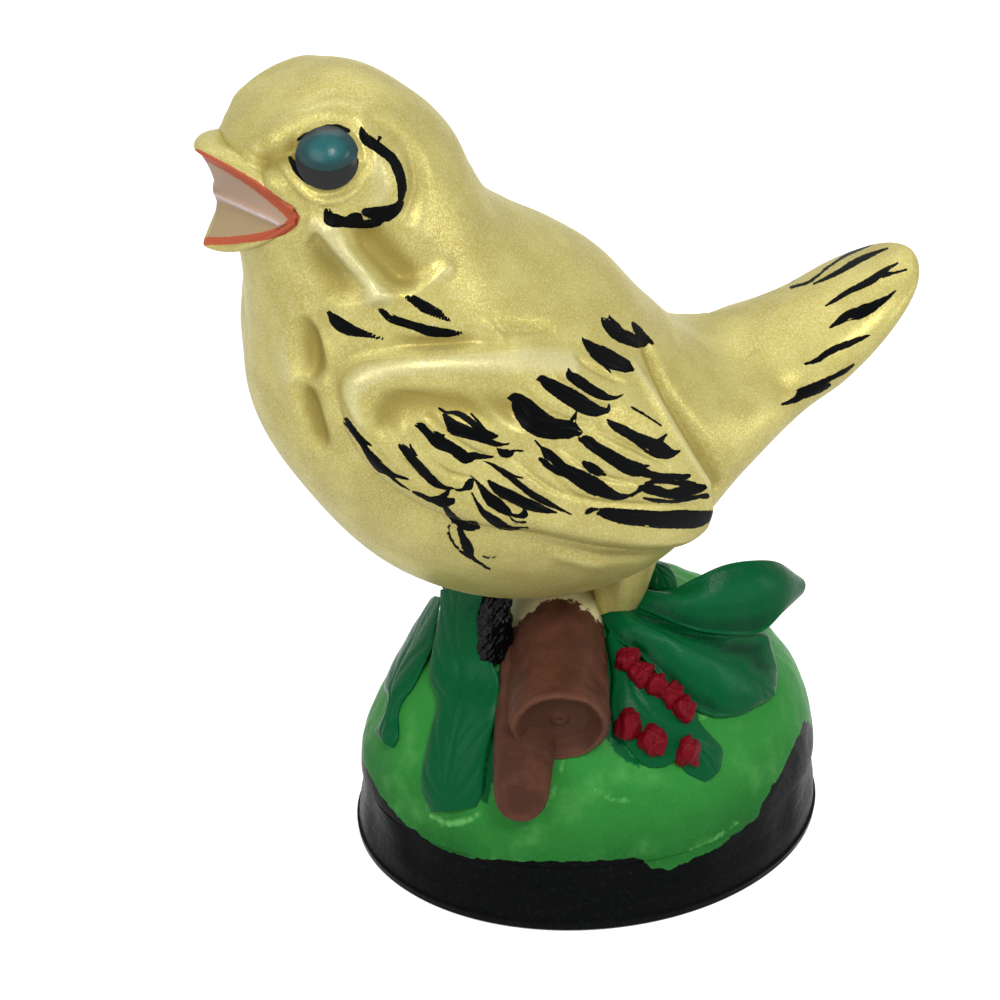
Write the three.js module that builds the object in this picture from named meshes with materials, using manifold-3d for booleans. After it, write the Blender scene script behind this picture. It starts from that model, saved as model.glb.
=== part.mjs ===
// A hollow slip-cast bird with an open beak, perched on a log over a mound of leaves and berries.
// Millimetres, +Z up. The bird faces -X and its left side is towards -Y.
import * as THREE from "three";
import { mergeVertices } from "three/addons/utils/BufferGeometryUtils.js";
import Module from "manifold-3d";

const wasm = await Module();
wasm.setup();

// Joints and walls
const LUTE_GAP = 0.3; // slip joint between neighbouring pieces
const CAST_WALL = 4; // wall of the hollow castings
const VENT_RADIUS = 3.5; // drain passage through the belly, the log and the mound

// Plinth and mound
const BASE_LENGTH = 64;
const BASE_WIDTH = 55;
const PLINTH_HEIGHT = 10;
const PLINTH_WALL = 6;
const PLINTH_EDGE = 0.6; // rounding of the resting edge
const PLINTH_WAIST = 0.8; // how far the plinth draws in towards the mound
const WAIST_AT = 0.6; // share of the height at which most of the drawing in is done
const WAIST_DONE = 0.8;
const MOUND_HEIGHT = 25;
const MOUND_SPREAD_POWER = 0.9; // fullness of the dome in plan
const MOUND_CLIMB_POWER = 1.15; // and in height

// Bird: sections on a fan of upright half-planes about a level line above its back.
// The bird's own origin is the lowest point of its belly.
const PERCH_X = -5; // belly point on the base
const PERCH_RISE = 4; // belly point above the crest of the mound
const PERCH_SEAT = 0.8; // depth that the belly sits into the log
const FAN_X = 17;
const FAN_Z = 77;
const SIDE_HOLD = 0.8; // share of a section's depth past which the wing no longer follows it
const TAIL_JOINT = 273; // fan angle of the butt joint between body and tail
const BIRD_SECTIONS = [
  // fan angle, back radius, belly radius, half width
  [187, 46, 46, 0],
  [190, 40, 57, 10.5],
  [194, 37.5, 60.8, 13],
  [199, 35.5, 61.8, 14],
  [205, 34.5, 62.5, 14.5],
  [212, 34.8, 66, 16.5],
  [220, 35.2, 73, 19.5],
  [229, 34.4, 77, 22],
  [240, 33.8, 80.8, 23.5],
  [251, 35.3, 80.8, 22.5],
  [262, 40.5, 76.5, 19.5],
  [272, 46.3, 65, 15.5],
  [281, 47.4, 60, 12],
  [290, 47.8, 58.5, 10],
  [298, 48, 56.2, 8.6],
  [304.5, 49.5, 53.8, 6.2],
  [308.3, 51.4, 51.4, 0],
];

// Wing outline on the side of the bird, as x and z from the belly point
const WING_TOP = [[-34, 39.5], [-32, 43], [-27, 44.6], [-19, 44.4], [-9.6, 43.5], [-1, 41.5],
  [5, 37.5], [7.5, 31.5], [10, 25], [12.4, 14.6]];
const WING_LOW = [[-34, 39.5], [-33.3, 34.5], [-30.5, 29], [-25.6, 24.6], [-20, 22], [-13.3, 20.2],
  [-4, 15.8], [5, 12.2], [9.6, 11.8], [12.4, 14.6]];

// Ridges and hollows of the bird's sides: how far each rises, its half width and its line as x and z
const RELIEF = {
  brow: { rise: 0.3, width: 1.4, line: [[-40.3, 65], [-38, 67], [-36, 68.5], [-33, 69.5], [-30.5, 70],
    [-28, 69.5], [-25.7, 68], [-24, 65.5]] },
  lore: { rise: -1.1, width: 1.4, line: [[-40.3, 63.6], [-39.3, 65], [-37.8, 65.7], [-36.5, 66.5]] },
  cheek: { rise: 0.5, width: 1.6, line: [[-28, 65], [-27.5, 63], [-28, 61]] },
  cheekValley: { rise: -0.7, width: 1.3, line: [[-26.5, 68.4], [-24.2, 66.4], [-23, 64], [-23, 61.4],
    [-24.4, 58.8]] },
  throatFold: { rise: 0.8, width: 1.1, line: [[-33.2, 58], [-31.8, 55.2], [-30.2, 52.7], [-28.8, 50.7]] },
  throatSide: { rise: -0.5, width: 1.8, line: [[-34.7, 55.7], [-34, 53.2], [-33, 50.4]] },
  neckHollow: { rise: -1.5, width: 2.1, line: [[-28.5, 56], [-27.2, 54], [-26, 52.2]] },
  collar: { rise: 0.5, width: 1, line: [[-28.7, 50], [-26.3, 50], [-23.4, 51], [-20.7, 52.2]] },
  breastHollow: { rise: -1, width: 1.3, line: [[-34.3, 47.6], [-35.3, 44], [-36, 40], [-36, 36],
    [-35.5, 32.4]] },
  breastRidge: { rise: 0.5, width: 1.4, line: [[-37.4, 43.3], [-37.9, 38.3]] },
  shoulderGroove: { rise: -0.5, width: 0.8, line: [[-33.3, 36], [-34, 38.8], [-33.5, 41.4], [-31.2, 43.6],
    [-27.2, 44.5], [-21.7, 44.6], [-15, 43.6]] },
  shoulderRidge: { rise: 0.6, width: 1.2, line: [[-32.4, 38], [-33, 40], [-32, 42], [-29, 43.2],
    [-24.5, 43.4], [-19.3, 43.2], [-13.2, 42.5], [-7.7, 41]] },
  shoulderHollow: { rise: -1, width: 1.9, line: [[-31, 38.3], [-29.7, 40], [-27.6, 40.8], [-24.7, 40.4],
    [-20.6, 39.8], [-16.7, 38.8]] },
  behindWing: { rise: -0.9, width: 1.2, line: [[5, 36.7], [6.2, 32.5], [8.5, 28], [11.5, 22.7],
    [13.7, 18.3]] },
  wingRim: { rise: 0.5, width: 0.8, line: [[1.7, 36.5], [3.5, 33.3], [5.7, 29], [8, 24.5], [10.2, 21]] },
};

const WING_STAND_FRONT = 1.2; // how far the wing stands out at the shoulder
const WING_STAND_REAR = 2.8; // and at the flight feathers
const WING_ROOT = 3; // depth of the wing's back behind the side of the body
const WING_FEATHERS = 5; // flight feathers across the rear half
const FEATHER_GROOVE = 0.5;
const WING_SWELL = [0.1, 0.7]; // shares of the length between which the wing comes to stand out
const FEATHERS_SHOW = [0.45, 0.7]; // and between which the grooves deepen
const WING_EDGE_POWER = 4; // squareness of the wing's rim
const GROOVE_POWER = 6; // narrowness of the grooves

// Head
const EYE_X = -33.1;
const EYE_Z = 65.9;
const EYE_RADIUS = 4.5;
const EYE_STAND = 1; // how far the eye stands out of its socket
const BEAK_UPPER_TIP = [-44.6, 63.8]; // x and z
const BEAK_LOWER_TIP = [-44.3, 52.8];
const GAPE_CORNER = [-36.5, 59];
const GAPE_HALF_WIDTH = 11.2;
const GAPE_REACH = 0.94; // share of the way to the corners that the lips run
const UPPER_LIP_BOW = [1.65, 2.8]; // powers that bow the lip forwards and upwards
const LOWER_LIP_BOW = [1.3, 2.1];
const BEAK_LIP = 1.2; // thickness of the beak a little way behind its lips
const LIP_SHARE = 0.4; // share of it left at the lips
const ROOT_SHARE = 1.3; // and at the root
const FULL_AT = 0.45; // share of the root's depth where the full thickness is reached
const BEAK_ROOT = 2.8; // depth of the beak's seat behind its lips
const MOUTH_DEPTH = 1.4; // hollow of the mouth lining
const LINING_SET_BACK = 0.3; // lining behind the lips
const LINING_INSET = 1.3; // lining short of each lip, in slip joints
const GAPE_CLEAR = 2; // face cleared away in front of the mouth
const THROAT = [-27, 59]; // point in the head that the beak pieces run towards

// Legs and feet
const LEG_X = 7;
const LEG_Y = 6;
const LEG_TOP_RADIUS = 5;
const LEG_LOW_RADIUS = 2.2;
const LEG_ROOT = 9; // length run up into the body before it is trimmed
const TOE_X = -10.6;
const TOE_Y = 5.2;
const TOE_RADIUS = 2.4;

// Log and side branch, level across and falling to the front
const LOG_RADIUS = 6.4;
const LOG_HEADING = 22; // degrees from -Y towards -X
const LOG_FALL = 0.19; // drop for each millimetre forwards
const LOG_REACH = 0.41 * BASE_WIDTH; // perch to the cut face
const LOG_BACK = 9;
const LOG_RIM = 1.1; // bark rim left round the cut face
const LOG_DISH = 1; // depth of the cut face inside the rim
const RIM_CHAMFER = 0.3; // share of the rim that is rounded off
const RIM_TO_DISH = 1.8; // rims from the outside to the floor of the dish
const BRANCH_RADIUS = 3.6;
const BRANCH_HEADING = 27;
const BRANCH_FALL = 0.57;
const BRANCH_AT = 0.22 * BASE_WIDTH; // along the log from the perch
const BRANCH_ASIDE = 4; // from the log's axis towards the bird's front
const BRANCH_BELOW = 2; // and below it
const BRANCH_BACK = 4;
const BRANCH_REACH = 0.245 * BASE_WIDTH;
const BRANCH_RIM = 0.8;
const BRANCH_DISH = 0.2;

// Leaves: two edges from one end to the other, each spot as bearing on the mound, rise (0 rim, 1 crest)
// and height above the mound, and the height of the leaf's middle above its edges
const LEAF_THICKNESS = 1.8;
const LEAF_FULLNESS = 0.4; // the lower, the blunter both ends
const LEAF_ENDS = [0.06, 0.94]; // shares of a sine's arch that the thickness follows
const LEAVES = {
  leaf_front: {
    edges: [
      [[-153, 0.13, 0.3], [-157, 0.18, 0.5], [-159, 0.24, 0.7], [-161, 0.34, 0.9], [-165, 0.44, 1],
        [-175, 0.48, 1.5], [-178, 0.51, 4], [-174, 0.52, 9], [-171, 0.51, 14]],
      [[-140, 0.2, 0.3], [-139, 0.25, 0.5], [-140, 0.32, 0.7], [-141, 0.4, 0.8], [-142, 0.49, 0.8],
        [-147, 0.58, 1], [-154, 0.6, 3], [-159, 0.59, 8], [-154, 0.57, 13]],
    ],
    crown: 0.5,
  },
  leaf_side: {
    edges: [
      [[-180, 0.24, 0.2], [-187, 0.23, 0.2], [-185, 0.31, 0.2], [-189, 0.34, 0.3], [-198, 0.32, 0.4],
        [-205, 0.36, 0.6], [-211, 0.4, 0.8], [-215, 0.44, 1.5], [-213, 0.52, 3]],
      [[-174, 0.25, 0.2], [-174, 0.29, 0.2], [-179, 0.34, 0.2], [-181, 0.38, 0.3], [-181, 0.43, 0.5],
        [-184, 0.49, 0.8], [-188, 0.54, 1.5], [-194, 0.56, 3], [-195, 0.58, 6]],
    ],
    crown: 0.3,
  },
  leaf_berry: {
    edges: [
      [[-96, 0.8, 0.4], [-91, 0.69, 0.5], [-85, 0.6, 0.5], [-80, 0.54, 0.5], [-76, 0.48, 0.5],
        [-76, 0.43, 0.4], [-74, 0.38, 0.3], [-72, 0.33, 0.2], [-74, 0.28, 0.2]],
      [[-102, 0.76, 0.4], [-102, 0.64, 0.5], [-104, 0.52, 0.5], [-101, 0.43, 0.5], [-96, 0.35, 0.4],
        [-91, 0.33, 0.4], [-87, 0.335, 0.5], [-84, 0.29, 0.3], [-80, 0.25, 0.2]],
    ],
    crown: 0.4,
  },
  leaf_broad: {
    edges: [
      [[-105, 0.87, 0.6], [-98, 0.75, 1.2], [-89, 0.67, 1.4], [-84, 0.57, 1.4], [-78, 0.48, 1],
        [-71, 0.42, 0.8], [-62, 0.39, 0.6], [-53, 0.38, 0.4]],
      [[-84, 0.9, 0.8], [-70, 0.78, 2], [-61, 0.65, 3.5], [-49, 0.54, 4.5], [-36, 0.46, 4.5],
        [-36, 0.43, 3.5], [-38, 0.39, 2], [-43, 0.37, 0.8]],
    ],
    crown: 0.8,
  },
  leaf_curled: {
    edges: [
      [[-60, 0.92, 1], [-61, 0.83, 3], [-61, 0.74, 6], [-57, 0.68, 9], [-48, 0.61, 12],
        [-40, 0.53, 14], [-29, 0.44, 14.5], [-20, 0.33, 14]],
      [[-79, 0.89, 1], [-75, 0.77, 3], [-66, 0.63, 4.5], [-56, 0.54, 5.5], [-47, 0.48, 6],
        [-43, 0.43, 8], [-38, 0.38, 11], [-26, 0.31, 13]],
    ],
    crown: 0.6,
  },
  leaf_back: {
    edges: [
      [[20, 0.8, 1], [0, 0.8, 2], [-12, 0.8, 2.5], [-24, 0.79, 2.2], [-34, 0.78, 1.5]],
      [[24, 0.92, 0.6], [0, 0.92, 1], [-14, 0.9, 1.4], [-28, 0.88, 1.4], [-36, 0.84, 1]],
    ],
    crown: 0.3,
  },
};

// Berries: bearing and rise on the mound
const BERRY_RADIUS = 1.5;
const BERRY_LIFT = 1.8;
const BERRIES = [[-95.4, 0.65], [-91.1, 0.6], [-87.2, 0.555], [-83, 0.515], [-80.7, 0.46],
  [-99.4, 0.45], [-93, 0.39], [-83.6, 0.33]];

// Facets
const OVAL_SIDES = 40;
const MOUND_STEPS = 10;
const BODY_RINGS = 46;
const BODY_SIDES = 44;
const TAIL_RINGS = 12;
const CAVITY_RINGS = 12;
const CAVITY_SIDES = 20;
const WING_COLUMNS = 24;
const WING_ROWS = 16;
const BEAK_COLUMNS = 16;
const LEAF_STEPS = 16;
const LEAF_SIDES = 10;
const ROUND_SIDES = 20;
const BERRY_SIDES = 10;
const FIRST_TURN = 0.06; // first ring of a round end

// Values that follow from the driving dimensions
const MOUND_LENGTH = BASE_LENGTH - 2 * PLINTH_WAIST;
const MOUND_WIDTH = BASE_WIDTH - 2 * PLINTH_WAIST;
const CREST_Z = PLINTH_HEIGHT + MOUND_HEIGHT;
const PERCH = new THREE.Vector3(PERCH_X, 0, CREST_Z + PERCH_RISE);
const LOG_Z = PERCH.z + PERCH_SEAT - LOG_RADIUS;

const rad = THREE.MathUtils.degToRad;
const lerp = THREE.MathUtils.lerp;

// Solids and booleans

function solidOf(geometry) {
  const bare = geometry.clone();
  bare.deleteAttribute("normal");
  bare.deleteAttribute("uv");
  const merged = mergeVertices(bare, 1e-4);
  const corners = merged.index.array;
  const triangles = [];
  for (let at = 0; at < corners.length; at += 3) {
    const [a, b, c] = corners.slice(at, at + 3);
    if (a !== b && b !== c && c !== a) triangles.push(a, b, c);
  }
  return new wasm.Manifold(new wasm.Mesh({
    numProp: 3,
    vertProperties: new Float32Array(merged.attributes.position.array),
    triVerts: new Uint32Array(triangles),
  }));
}

function signedVolume(points, index) {
  let total = 0;
  const cross = new THREE.Vector3();
  for (let at = 0; at < index.length; at += 3) {
    cross.crossVectors(points[index[at + 1]], points[index[at + 2]]);
    total += points[index[at]].dot(cross) / 6;
  }
  return total;
}

// A closed skin over a row of rings, brought to a point at each end
function loft(rings, startTip, endTip) {
  const sides = rings[0].length;
  const points = [startTip, ...rings.flat(), endTip];
  const last = points.length - 1;
  const at = (ring, side) => 1 + ring * sides + (side % sides);
  const index = [];
  for (let side = 0; side < sides; side++) {
    index.push(0, at(0, side + 1), at(0, side));
    for (let ring = 0; ring + 1 < rings.length; ring++) {
      index.push(at(ring, side), at(ring, side + 1), at(ring + 1, side + 1));
      index.push(at(ring, side), at(ring + 1, side + 1), at(ring + 1, side));
    }
    index.push(last, at(rings.length - 1, side), at(rings.length - 1, side + 1));
  }
  if (signedVolume(points, index) < 0) index.reverse();
  const geometry = new THREE.BufferGeometry().setFromPoints(points);
  geometry.setIndex(index);
  return solidOf(geometry);
}

// The largest body of a solid, without the offcuts of its seats
function mainBody(solid) {
  return solid.decompose().reduce((main, body) => (body.volume() > main.volume() ? body : main));
}

// A piece with a slip joint's gap cut between it and each neighbour that it is seated on
function seat(piece, ...neighbours) {
  let solid = piece(0);
  for (const neighbour of neighbours) {
    solid = solid.subtract(neighbour(LUTE_GAP));
  }
  return mainBody(solid);
}

function meshOf(name, solid, colour, roughness, metalness = 0) {
  const { vertProperties, triVerts } = solid.getMesh();
  const geometry = new THREE.BufferGeometry();
  geometry.setAttribute("position", new THREE.BufferAttribute(vertProperties, 3));
  geometry.setIndex(new THREE.BufferAttribute(triVerts, 1));
  geometry.computeVertexNormals();
  const material = new THREE.MeshStandardMaterial({ color: colour, roughness, metalness });
  const mesh = new THREE.Mesh(geometry, material);
  mesh.name = name;
  return mesh;
}

function ovalRing(semiLength, semiWidth, z) {
  const ring = [];
  for (let side = 0; side < OVAL_SIDES; side++) {
    const turn = (2 * Math.PI * side) / OVAL_SIDES;
    ring.push(new THREE.Vector3(semiLength * Math.cos(turn), semiWidth * Math.sin(turn), z));
  }
  return ring;
}

// The drain passage, upright through the perch
function ventPassage() {
  const length = CREST_Z + PERCH_RISE + CAST_WALL + LOG_RADIUS;
  const geometry = new THREE.CylinderGeometry(VENT_RADIUS, VENT_RADIUS, length, ROUND_SIDES);
  geometry.rotateX(Math.PI / 2);
  geometry.translate(PERCH.x, PERCH.y, PLINTH_HEIGHT + length / 2);
  return solidOf(geometry);
}

// Plinth and mound

function plinth() {
  const ringAt = (z, inset) => ovalRing(BASE_LENGTH / 2 - inset, BASE_WIDTH / 2 - inset, z);
  const top = PLINTH_HEIGHT - LUTE_GAP;
  const outer = [
    ringAt(0, PLINTH_EDGE),
    ringAt(PLINTH_EDGE, 0),
    ringAt(WAIST_AT * PLINTH_HEIGHT, WAIST_DONE * PLINTH_WAIST),
    ringAt(top, PLINTH_WAIST),
  ];
  const axisPoint = (z) => new THREE.Vector3(0, 0, z);
  const block = loft(outer, axisPoint(0), axisPoint(top));
  const past = PLINTH_HEIGHT + 1;
  const bore = loft([ringAt(-1, PLINTH_WALL), ringAt(past, PLINTH_WALL)], axisPoint(-1), axisPoint(past));
  return block.subtract(bore);
}

// Point on the mound, a height above it: bearing in degrees from +X, rise 0 at the rim and 1 at the crest
function moundPoint(bearing, rise, above = 0, grow = 0) {
  const slope = (rise * Math.PI) / 2;
  const spread = Math.max(Math.cos(slope), 0) ** MOUND_SPREAD_POWER;
  const climb = Math.sin(slope) ** MOUND_CLIMB_POWER;
  return new THREE.Vector3(
    (MOUND_LENGTH / 2 + grow) * spread * Math.cos(rad(bearing)),
    (MOUND_WIDTH / 2 + grow) * spread * Math.sin(rad(bearing)),
    PLINTH_HEIGHT + (MOUND_HEIGHT + grow) * climb + above,
  );
}

function moundNormal(bearing, rise) {
  const step = 0.02;
  const around = moundPoint(bearing + 1, rise).sub(moundPoint(bearing - 1, rise));
  const uphill = moundPoint(bearing, rise + step).sub(moundPoint(bearing, rise - step));
  return around.cross(uphill).normalize();
}

function moundRings(grow) {
  const rings = [];
  for (let step = 0; step < MOUND_STEPS; step++) {
    const rise = step / MOUND_STEPS;
    const edge = moundPoint(0, rise, 0, grow);
    const side = moundPoint(90, rise, 0, grow);
    rings.push(ovalRing(edge.x, side.y, edge.z));
  }
  return rings;
}

// The whole dome, closed underneath
function moundDome(grow) {
  return loft(moundRings(grow), new THREE.Vector3(0, 0, PLINTH_HEIGHT), moundPoint(0, 1, 0, grow));
}

function mound() {
  const hollow = moundDome(-CAST_WALL);
  return moundDome(0).subtract(hollow).subtract(ventPassage());
}

// Bird body and tail

const FAN_START = BIRD_SECTIONS[0][0];
const FAN_END = BIRD_SECTIONS[BIRD_SECTIONS.length - 1][0];

// Sections are spaced so that both ends of the fan come out round
function roundedTurn(angle) {
  const share = (angle - FAN_START) / (FAN_END - FAN_START);
  return Math.acos(THREE.MathUtils.clamp(1 - 2 * share, -1, 1));
}

function fanAngle(turn) {
  return FAN_START + ((FAN_END - FAN_START) * (1 - Math.cos(turn))) / 2;
}

const SECTION_TURNS = BIRD_SECTIONS.map((section) => roundedTurn(section[0]));

// Slope of one column of the sections at a station, from the parabola through it and its neighbours
function sectionSlope(column, station) {
  const last = BIRD_SECTIONS.length - 1;
  const value = (k) => BIRD_SECTIONS[k][column];
  const span = (k) => SECTION_TURNS[k + 1] - SECTION_TURNS[k];
  const secant = (k) => (value(k + 1) - value(k)) / span(k);
  if (station === 0) return secant(0);
  if (station === last) return secant(last - 1);
  const before = span(station - 1);
  const after = span(station);
  return (secant(station - 1) * after + secant(station) * before) / (before + after);
}

// Smooth curve through one column of the sections
function sectionValue(column, turn) {
  let station = 0;
  while (station < BIRD_SECTIONS.length - 2 && turn > SECTION_TURNS[station + 1]) station++;
  const span = SECTION_TURNS[station + 1] - SECTION_TURNS[station];
  const t = (turn - SECTION_TURNS[station]) / span;
  const from = BIRD_SECTIONS[station][column];
  const to = BIRD_SECTIONS[station + 1][column];
  const leave = sectionSlope(column, station) * span;
  const arrive = sectionSlope(column, station + 1) * span;
  return from * (1 + 2 * t) * (1 - t) ** 2 + leave * t * (1 - t) ** 2
    + to * t * t * (3 - 2 * t) + arrive * t * t * (t - 1);
}

function sectionAt(turn) {
  const back = sectionValue(1, turn);
  const belly = sectionValue(2, turn);
  return {
    middle: (back + belly) / 2,
    depth: Math.max((belly - back) / 2, 0),
    width: Math.max(sectionValue(3, turn), 0),
  };
}

function fanPoint(angle, radius, y) {
  return new THREE.Vector3(
    PERCH.x + FAN_X + radius * Math.cos(rad(angle)),
    PERCH.y + y,
    PERCH.z + FAN_Z + radius * Math.sin(rad(angle)),
  );
}

// Height of the relief at a spot on the bird's skin, from its belly point; both sides are alike
function reliefAt(spot) {
  const mirrored = new THREE.Vector3(spot.x, Math.abs(spot.y), spot.z);
  const foot = new THREE.Vector3();
  let height = 0;
  for (const { rise, width, stretches } of reliefForms()) {
    let nearest = Infinity;
    for (const stretch of stretches) {
      stretch.closestPointToPoint(mirrored, true, foot);
      nearest = Math.min(nearest, foot.distanceTo(mirrored));
    }
    height += rise * Math.exp(-((nearest / width) ** 2));
  }
  return height;
}

function birdRing(turn, angle, grow, sides) {
  const { middle, depth, width } = sectionAt(turn);
  const ring = [];
  for (let side = 0; side < sides; side++) {
    const round = (2 * Math.PI * side) / sides;
    const spot = (lift, at) => fanPoint(
      at,
      middle + (depth + lift) * Math.cos(round),
      (width + lift) * Math.sin(round),
    );
    const skin = spot(0, fanAngle(turn)).sub(PERCH);
    ring.push(spot(grow + reliefAt(skin), angle));
  }
  return ring;
}

// Rings between two turns; a grown skin also moves out past the round end of the fan
function birdRings(fromTurn, toTurn, count, grow, sides) {
  const rings = [];
  for (let ring = 0; ring <= count; ring++) {
    const turn = lerp(fromTurn, toTurn, ring / count);
    const outwards = THREE.MathUtils.radToDeg(grow / sectionAt(turn).middle);
    rings.push(birdRing(turn, fanAngle(turn) - outwards * Math.cos(turn), grow, sides));
  }
  return rings;
}

function fanTip(turn, grow) {
  const { middle } = sectionAt(turn);
  const outwards = THREE.MathUtils.radToDeg(grow / middle);
  return fanPoint(fanAngle(turn) - outwards * Math.cos(turn), middle, 0);
}

const JOINT_TURN = roundedTurn(TAIL_JOINT);
const JOINT_MIDDLE = sectionAt(JOINT_TURN).middle;

// The outside of the body, from the forehead to the tail joint, made once for each growth
const bodyForms = new Map();

function bodyForm(grow) {
  if (!bodyForms.has(grow)) {
    const rings = birdRings(FIRST_TURN, JOINT_TURN, BODY_RINGS, grow, BODY_SIDES);
    bodyForms.set(grow, loft(rings, fanTip(0, grow), fanTip(JOINT_TURN, grow)));
  }
  return bodyForms.get(grow);
}

function bodyCavity() {
  const wallAngle = THREE.MathUtils.radToDeg(CAST_WALL / JOINT_MIDDLE);
  const from = roundedTurn(FAN_START + wallAngle);
  const to = roundedTurn(TAIL_JOINT - wallAngle);
  const rings = [];
  for (let ring = 0; ring <= CAVITY_RINGS; ring++) {
    const turn = lerp(from, to, ring / CAVITY_RINGS);
    rings.push(birdRing(turn, fanAngle(turn), -CAST_WALL, CAVITY_SIDES));
  }
  return loft(rings, fanTip(from, 0), fanTip(to, 0));
}

function birdBody() {
  const hollow = bodyForm(0).subtract(bodyCavity()).subtract(ventPassage());
  return seat(() => hollow, beakUpper, beakLower, mouthLining);
}

function tailForm(grow) {
  const gapAngle = THREE.MathUtils.radToDeg(LUTE_GAP / JOINT_MIDDLE);
  const from = roundedTurn(TAIL_JOINT + gapAngle);
  const rings = birdRings(from, Math.PI - FIRST_TURN, TAIL_RINGS, grow, BODY_SIDES);
  return loft(rings, fanTip(from, grow), fanTip(Math.PI, grow));
}

// Height of the bird's side above its middle plane, held up past the shoulder of the section
function sideOf(x, z) {
  const angle = THREE.MathUtils.radToDeg(Math.atan2(z - FAN_Z, x - FAN_X));
  const { middle, depth, width } = sectionAt(roundedTurn((angle + 360) % 360));
  const across = (Math.hypot(x - FAN_X, z - FAN_Z) - middle) / depth;
  const held = THREE.MathUtils.clamp(across, -SIDE_HOLD, SIDE_HOLD);
  return width * Math.sqrt(1 - held * held);
}

// The relief's lines laid on the side of the bird, as stretches
let laidRelief = null;

function reliefForms() {
  laidRelief ??= Object.values(RELIEF).map(({ rise, width, line }) => {
    const spots = line.map(([x, z]) => new THREE.Vector3(x, sideOf(x, z), z));
    const stretches = spots.slice(1).map((spot, number) => new THREE.Line3(spots[number], spot));
    return { rise, width, stretches };
  });
  return laidRelief;
}

function sideNormal(x, z) {
  const step = 0.2;
  const dx = (sideOf(x + step, z) - sideOf(x - step, z)) / (2 * step);
  const dz = (sideOf(x, z + step) - sideOf(x, z - step)) / (2 * step);
  return new THREE.Vector3(-dx, 1, -dz).normalize();
}

// Wings: side is -1 on the left and 1 on the right

function wingStand(along, across) {
  const stand = lerp(WING_STAND_FRONT, WING_STAND_REAR, THREE.MathUtils.smoothstep(along, ...WING_SWELL));
  const edge = Math.sqrt(1 - Math.abs(2 * across - 1) ** WING_EDGE_POWER);
  const ripple = Math.abs(Math.cos(Math.PI * WING_FEATHERS * across));
  const deep = THREE.MathUtils.smoothstep(along, ...FEATHERS_SHOW);
  const groove = FEATHER_GROOVE * ripple ** GROOVE_POWER * deep;
  return (stand - groove) * edge;
}

function wing(side) {
  const top = new THREE.SplineCurve(WING_TOP.map(([x, z]) => new THREE.Vector2(x, z)));
  const low = new THREE.SplineCurve(WING_LOW.map(([x, z]) => new THREE.Vector2(x, z)));
  const place = ({ x, y }, out) => new THREE.Vector3(x, side * (sideOf(x, y) + out), y).add(PERCH);
  const rings = [];
  for (let column = 1; column < WING_COLUMNS; column++) {
    const along = column / WING_COLUMNS;
    const outer = [];
    const inner = [];
    for (let row = 0; row <= WING_ROWS; row++) {
      const across = row / WING_ROWS;
      const spot = top.getPoint(along).lerp(low.getPoint(along), across);
      const relief = reliefAt(new THREE.Vector3(spot.x, sideOf(spot.x, spot.y), spot.y));
      outer.push(place(spot, wingStand(along, across) + relief));
      inner.unshift(place(spot, -WING_ROOT));
    }
    rings.push([...outer, ...inner]);
  }
  return loft(rings, place(top.getPoint(0), 0), place(top.getPoint(1), 0));
}

// Eyes

function eye(side) {
  const normal = sideNormal(EYE_X, EYE_Z);
  const centre = new THREE.Vector3(EYE_X, sideOf(EYE_X, EYE_Z), EYE_Z);
  centre.addScaledVector(normal, EYE_STAND - EYE_RADIUS);
  const geometry = new THREE.SphereGeometry(EYE_RADIUS, ROUND_SIDES, ROUND_SIDES / 2);
  geometry.translate(centre.x, side * centre.y, centre.z);
  geometry.translate(PERCH.x, PERCH.y, PERCH.z);
  return solidOf(geometry);
}

// Beak: lips run from one corner of the gape round the tip to the other corner

function lipPoint(tip, bow, along) {
  const share = Math.abs(along);
  return new THREE.Vector3(
    lerp(tip[0], GAPE_CORNER[0], share ** bow[0]),
    GAPE_HALF_WIDTH * along,
    lerp(tip[1], GAPE_CORNER[1], share ** bow[1]),
  );
}

const upperLip = (along) => lipPoint(BEAK_UPPER_TIP, UPPER_LIP_BOW, along);
const lowerLip = (along) => lipPoint(BEAK_LOWER_TIP, LOWER_LIP_BOW, along);

// The spot a depth behind a lip and some way above it
function behindLip(point, depth, up) {
  const throat = new THREE.Vector3(THROAT[0], 0, THROAT[1]);
  const spot = point.clone();
  spot.addScaledVector(throat.sub(point).normalize(), depth);
  return spot.setZ(spot.z + up);
}

// Sections from corner to corner; a grown form also moves out past both corners
function beakLoft(section, grow) {
  const rings = [];
  for (let column = 0; column <= BEAK_COLUMNS; column++) {
    const along = lerp(-GAPE_REACH, GAPE_REACH, column / BEAK_COLUMNS);
    rings.push(section(along).map((point) => point.add(PERCH)));
  }
  rings[0].forEach((point) => point.setY(point.y - grow));
  rings[BEAK_COLUMNS].forEach((point) => point.setY(point.y + grow));
  const middleOf = (ring) => {
    const sum = new THREE.Vector3();
    ring.forEach((point) => sum.add(point));
    return sum.divideScalar(ring.length);
  };
  return loft(rings, middleOf(rings[0]), middleOf(rings[rings.length - 1]));
}

// One half of the beak: a wedge from its lip back into the head; outwards is 1 for the upper half
function beakHalf(lip, outwards, grow) {
  return beakLoft((along) => {
    const edge = lip(along);
    const spot = (depth, thick) => behindLip(edge, depth, outwards * (thick * BEAK_LIP + grow));
    const inside = (depth) => behindLip(edge, depth, -outwards * grow);
    const front = grow > 0 ? -GAPE_CLEAR : 0;
    return [
      inside(front),
      spot(front, LIP_SHARE),
      spot(FULL_AT * BEAK_ROOT, 1),
      spot(BEAK_ROOT + grow, ROOT_SHARE),
      inside(BEAK_ROOT + grow),
    ];
  }, grow);
}

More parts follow.
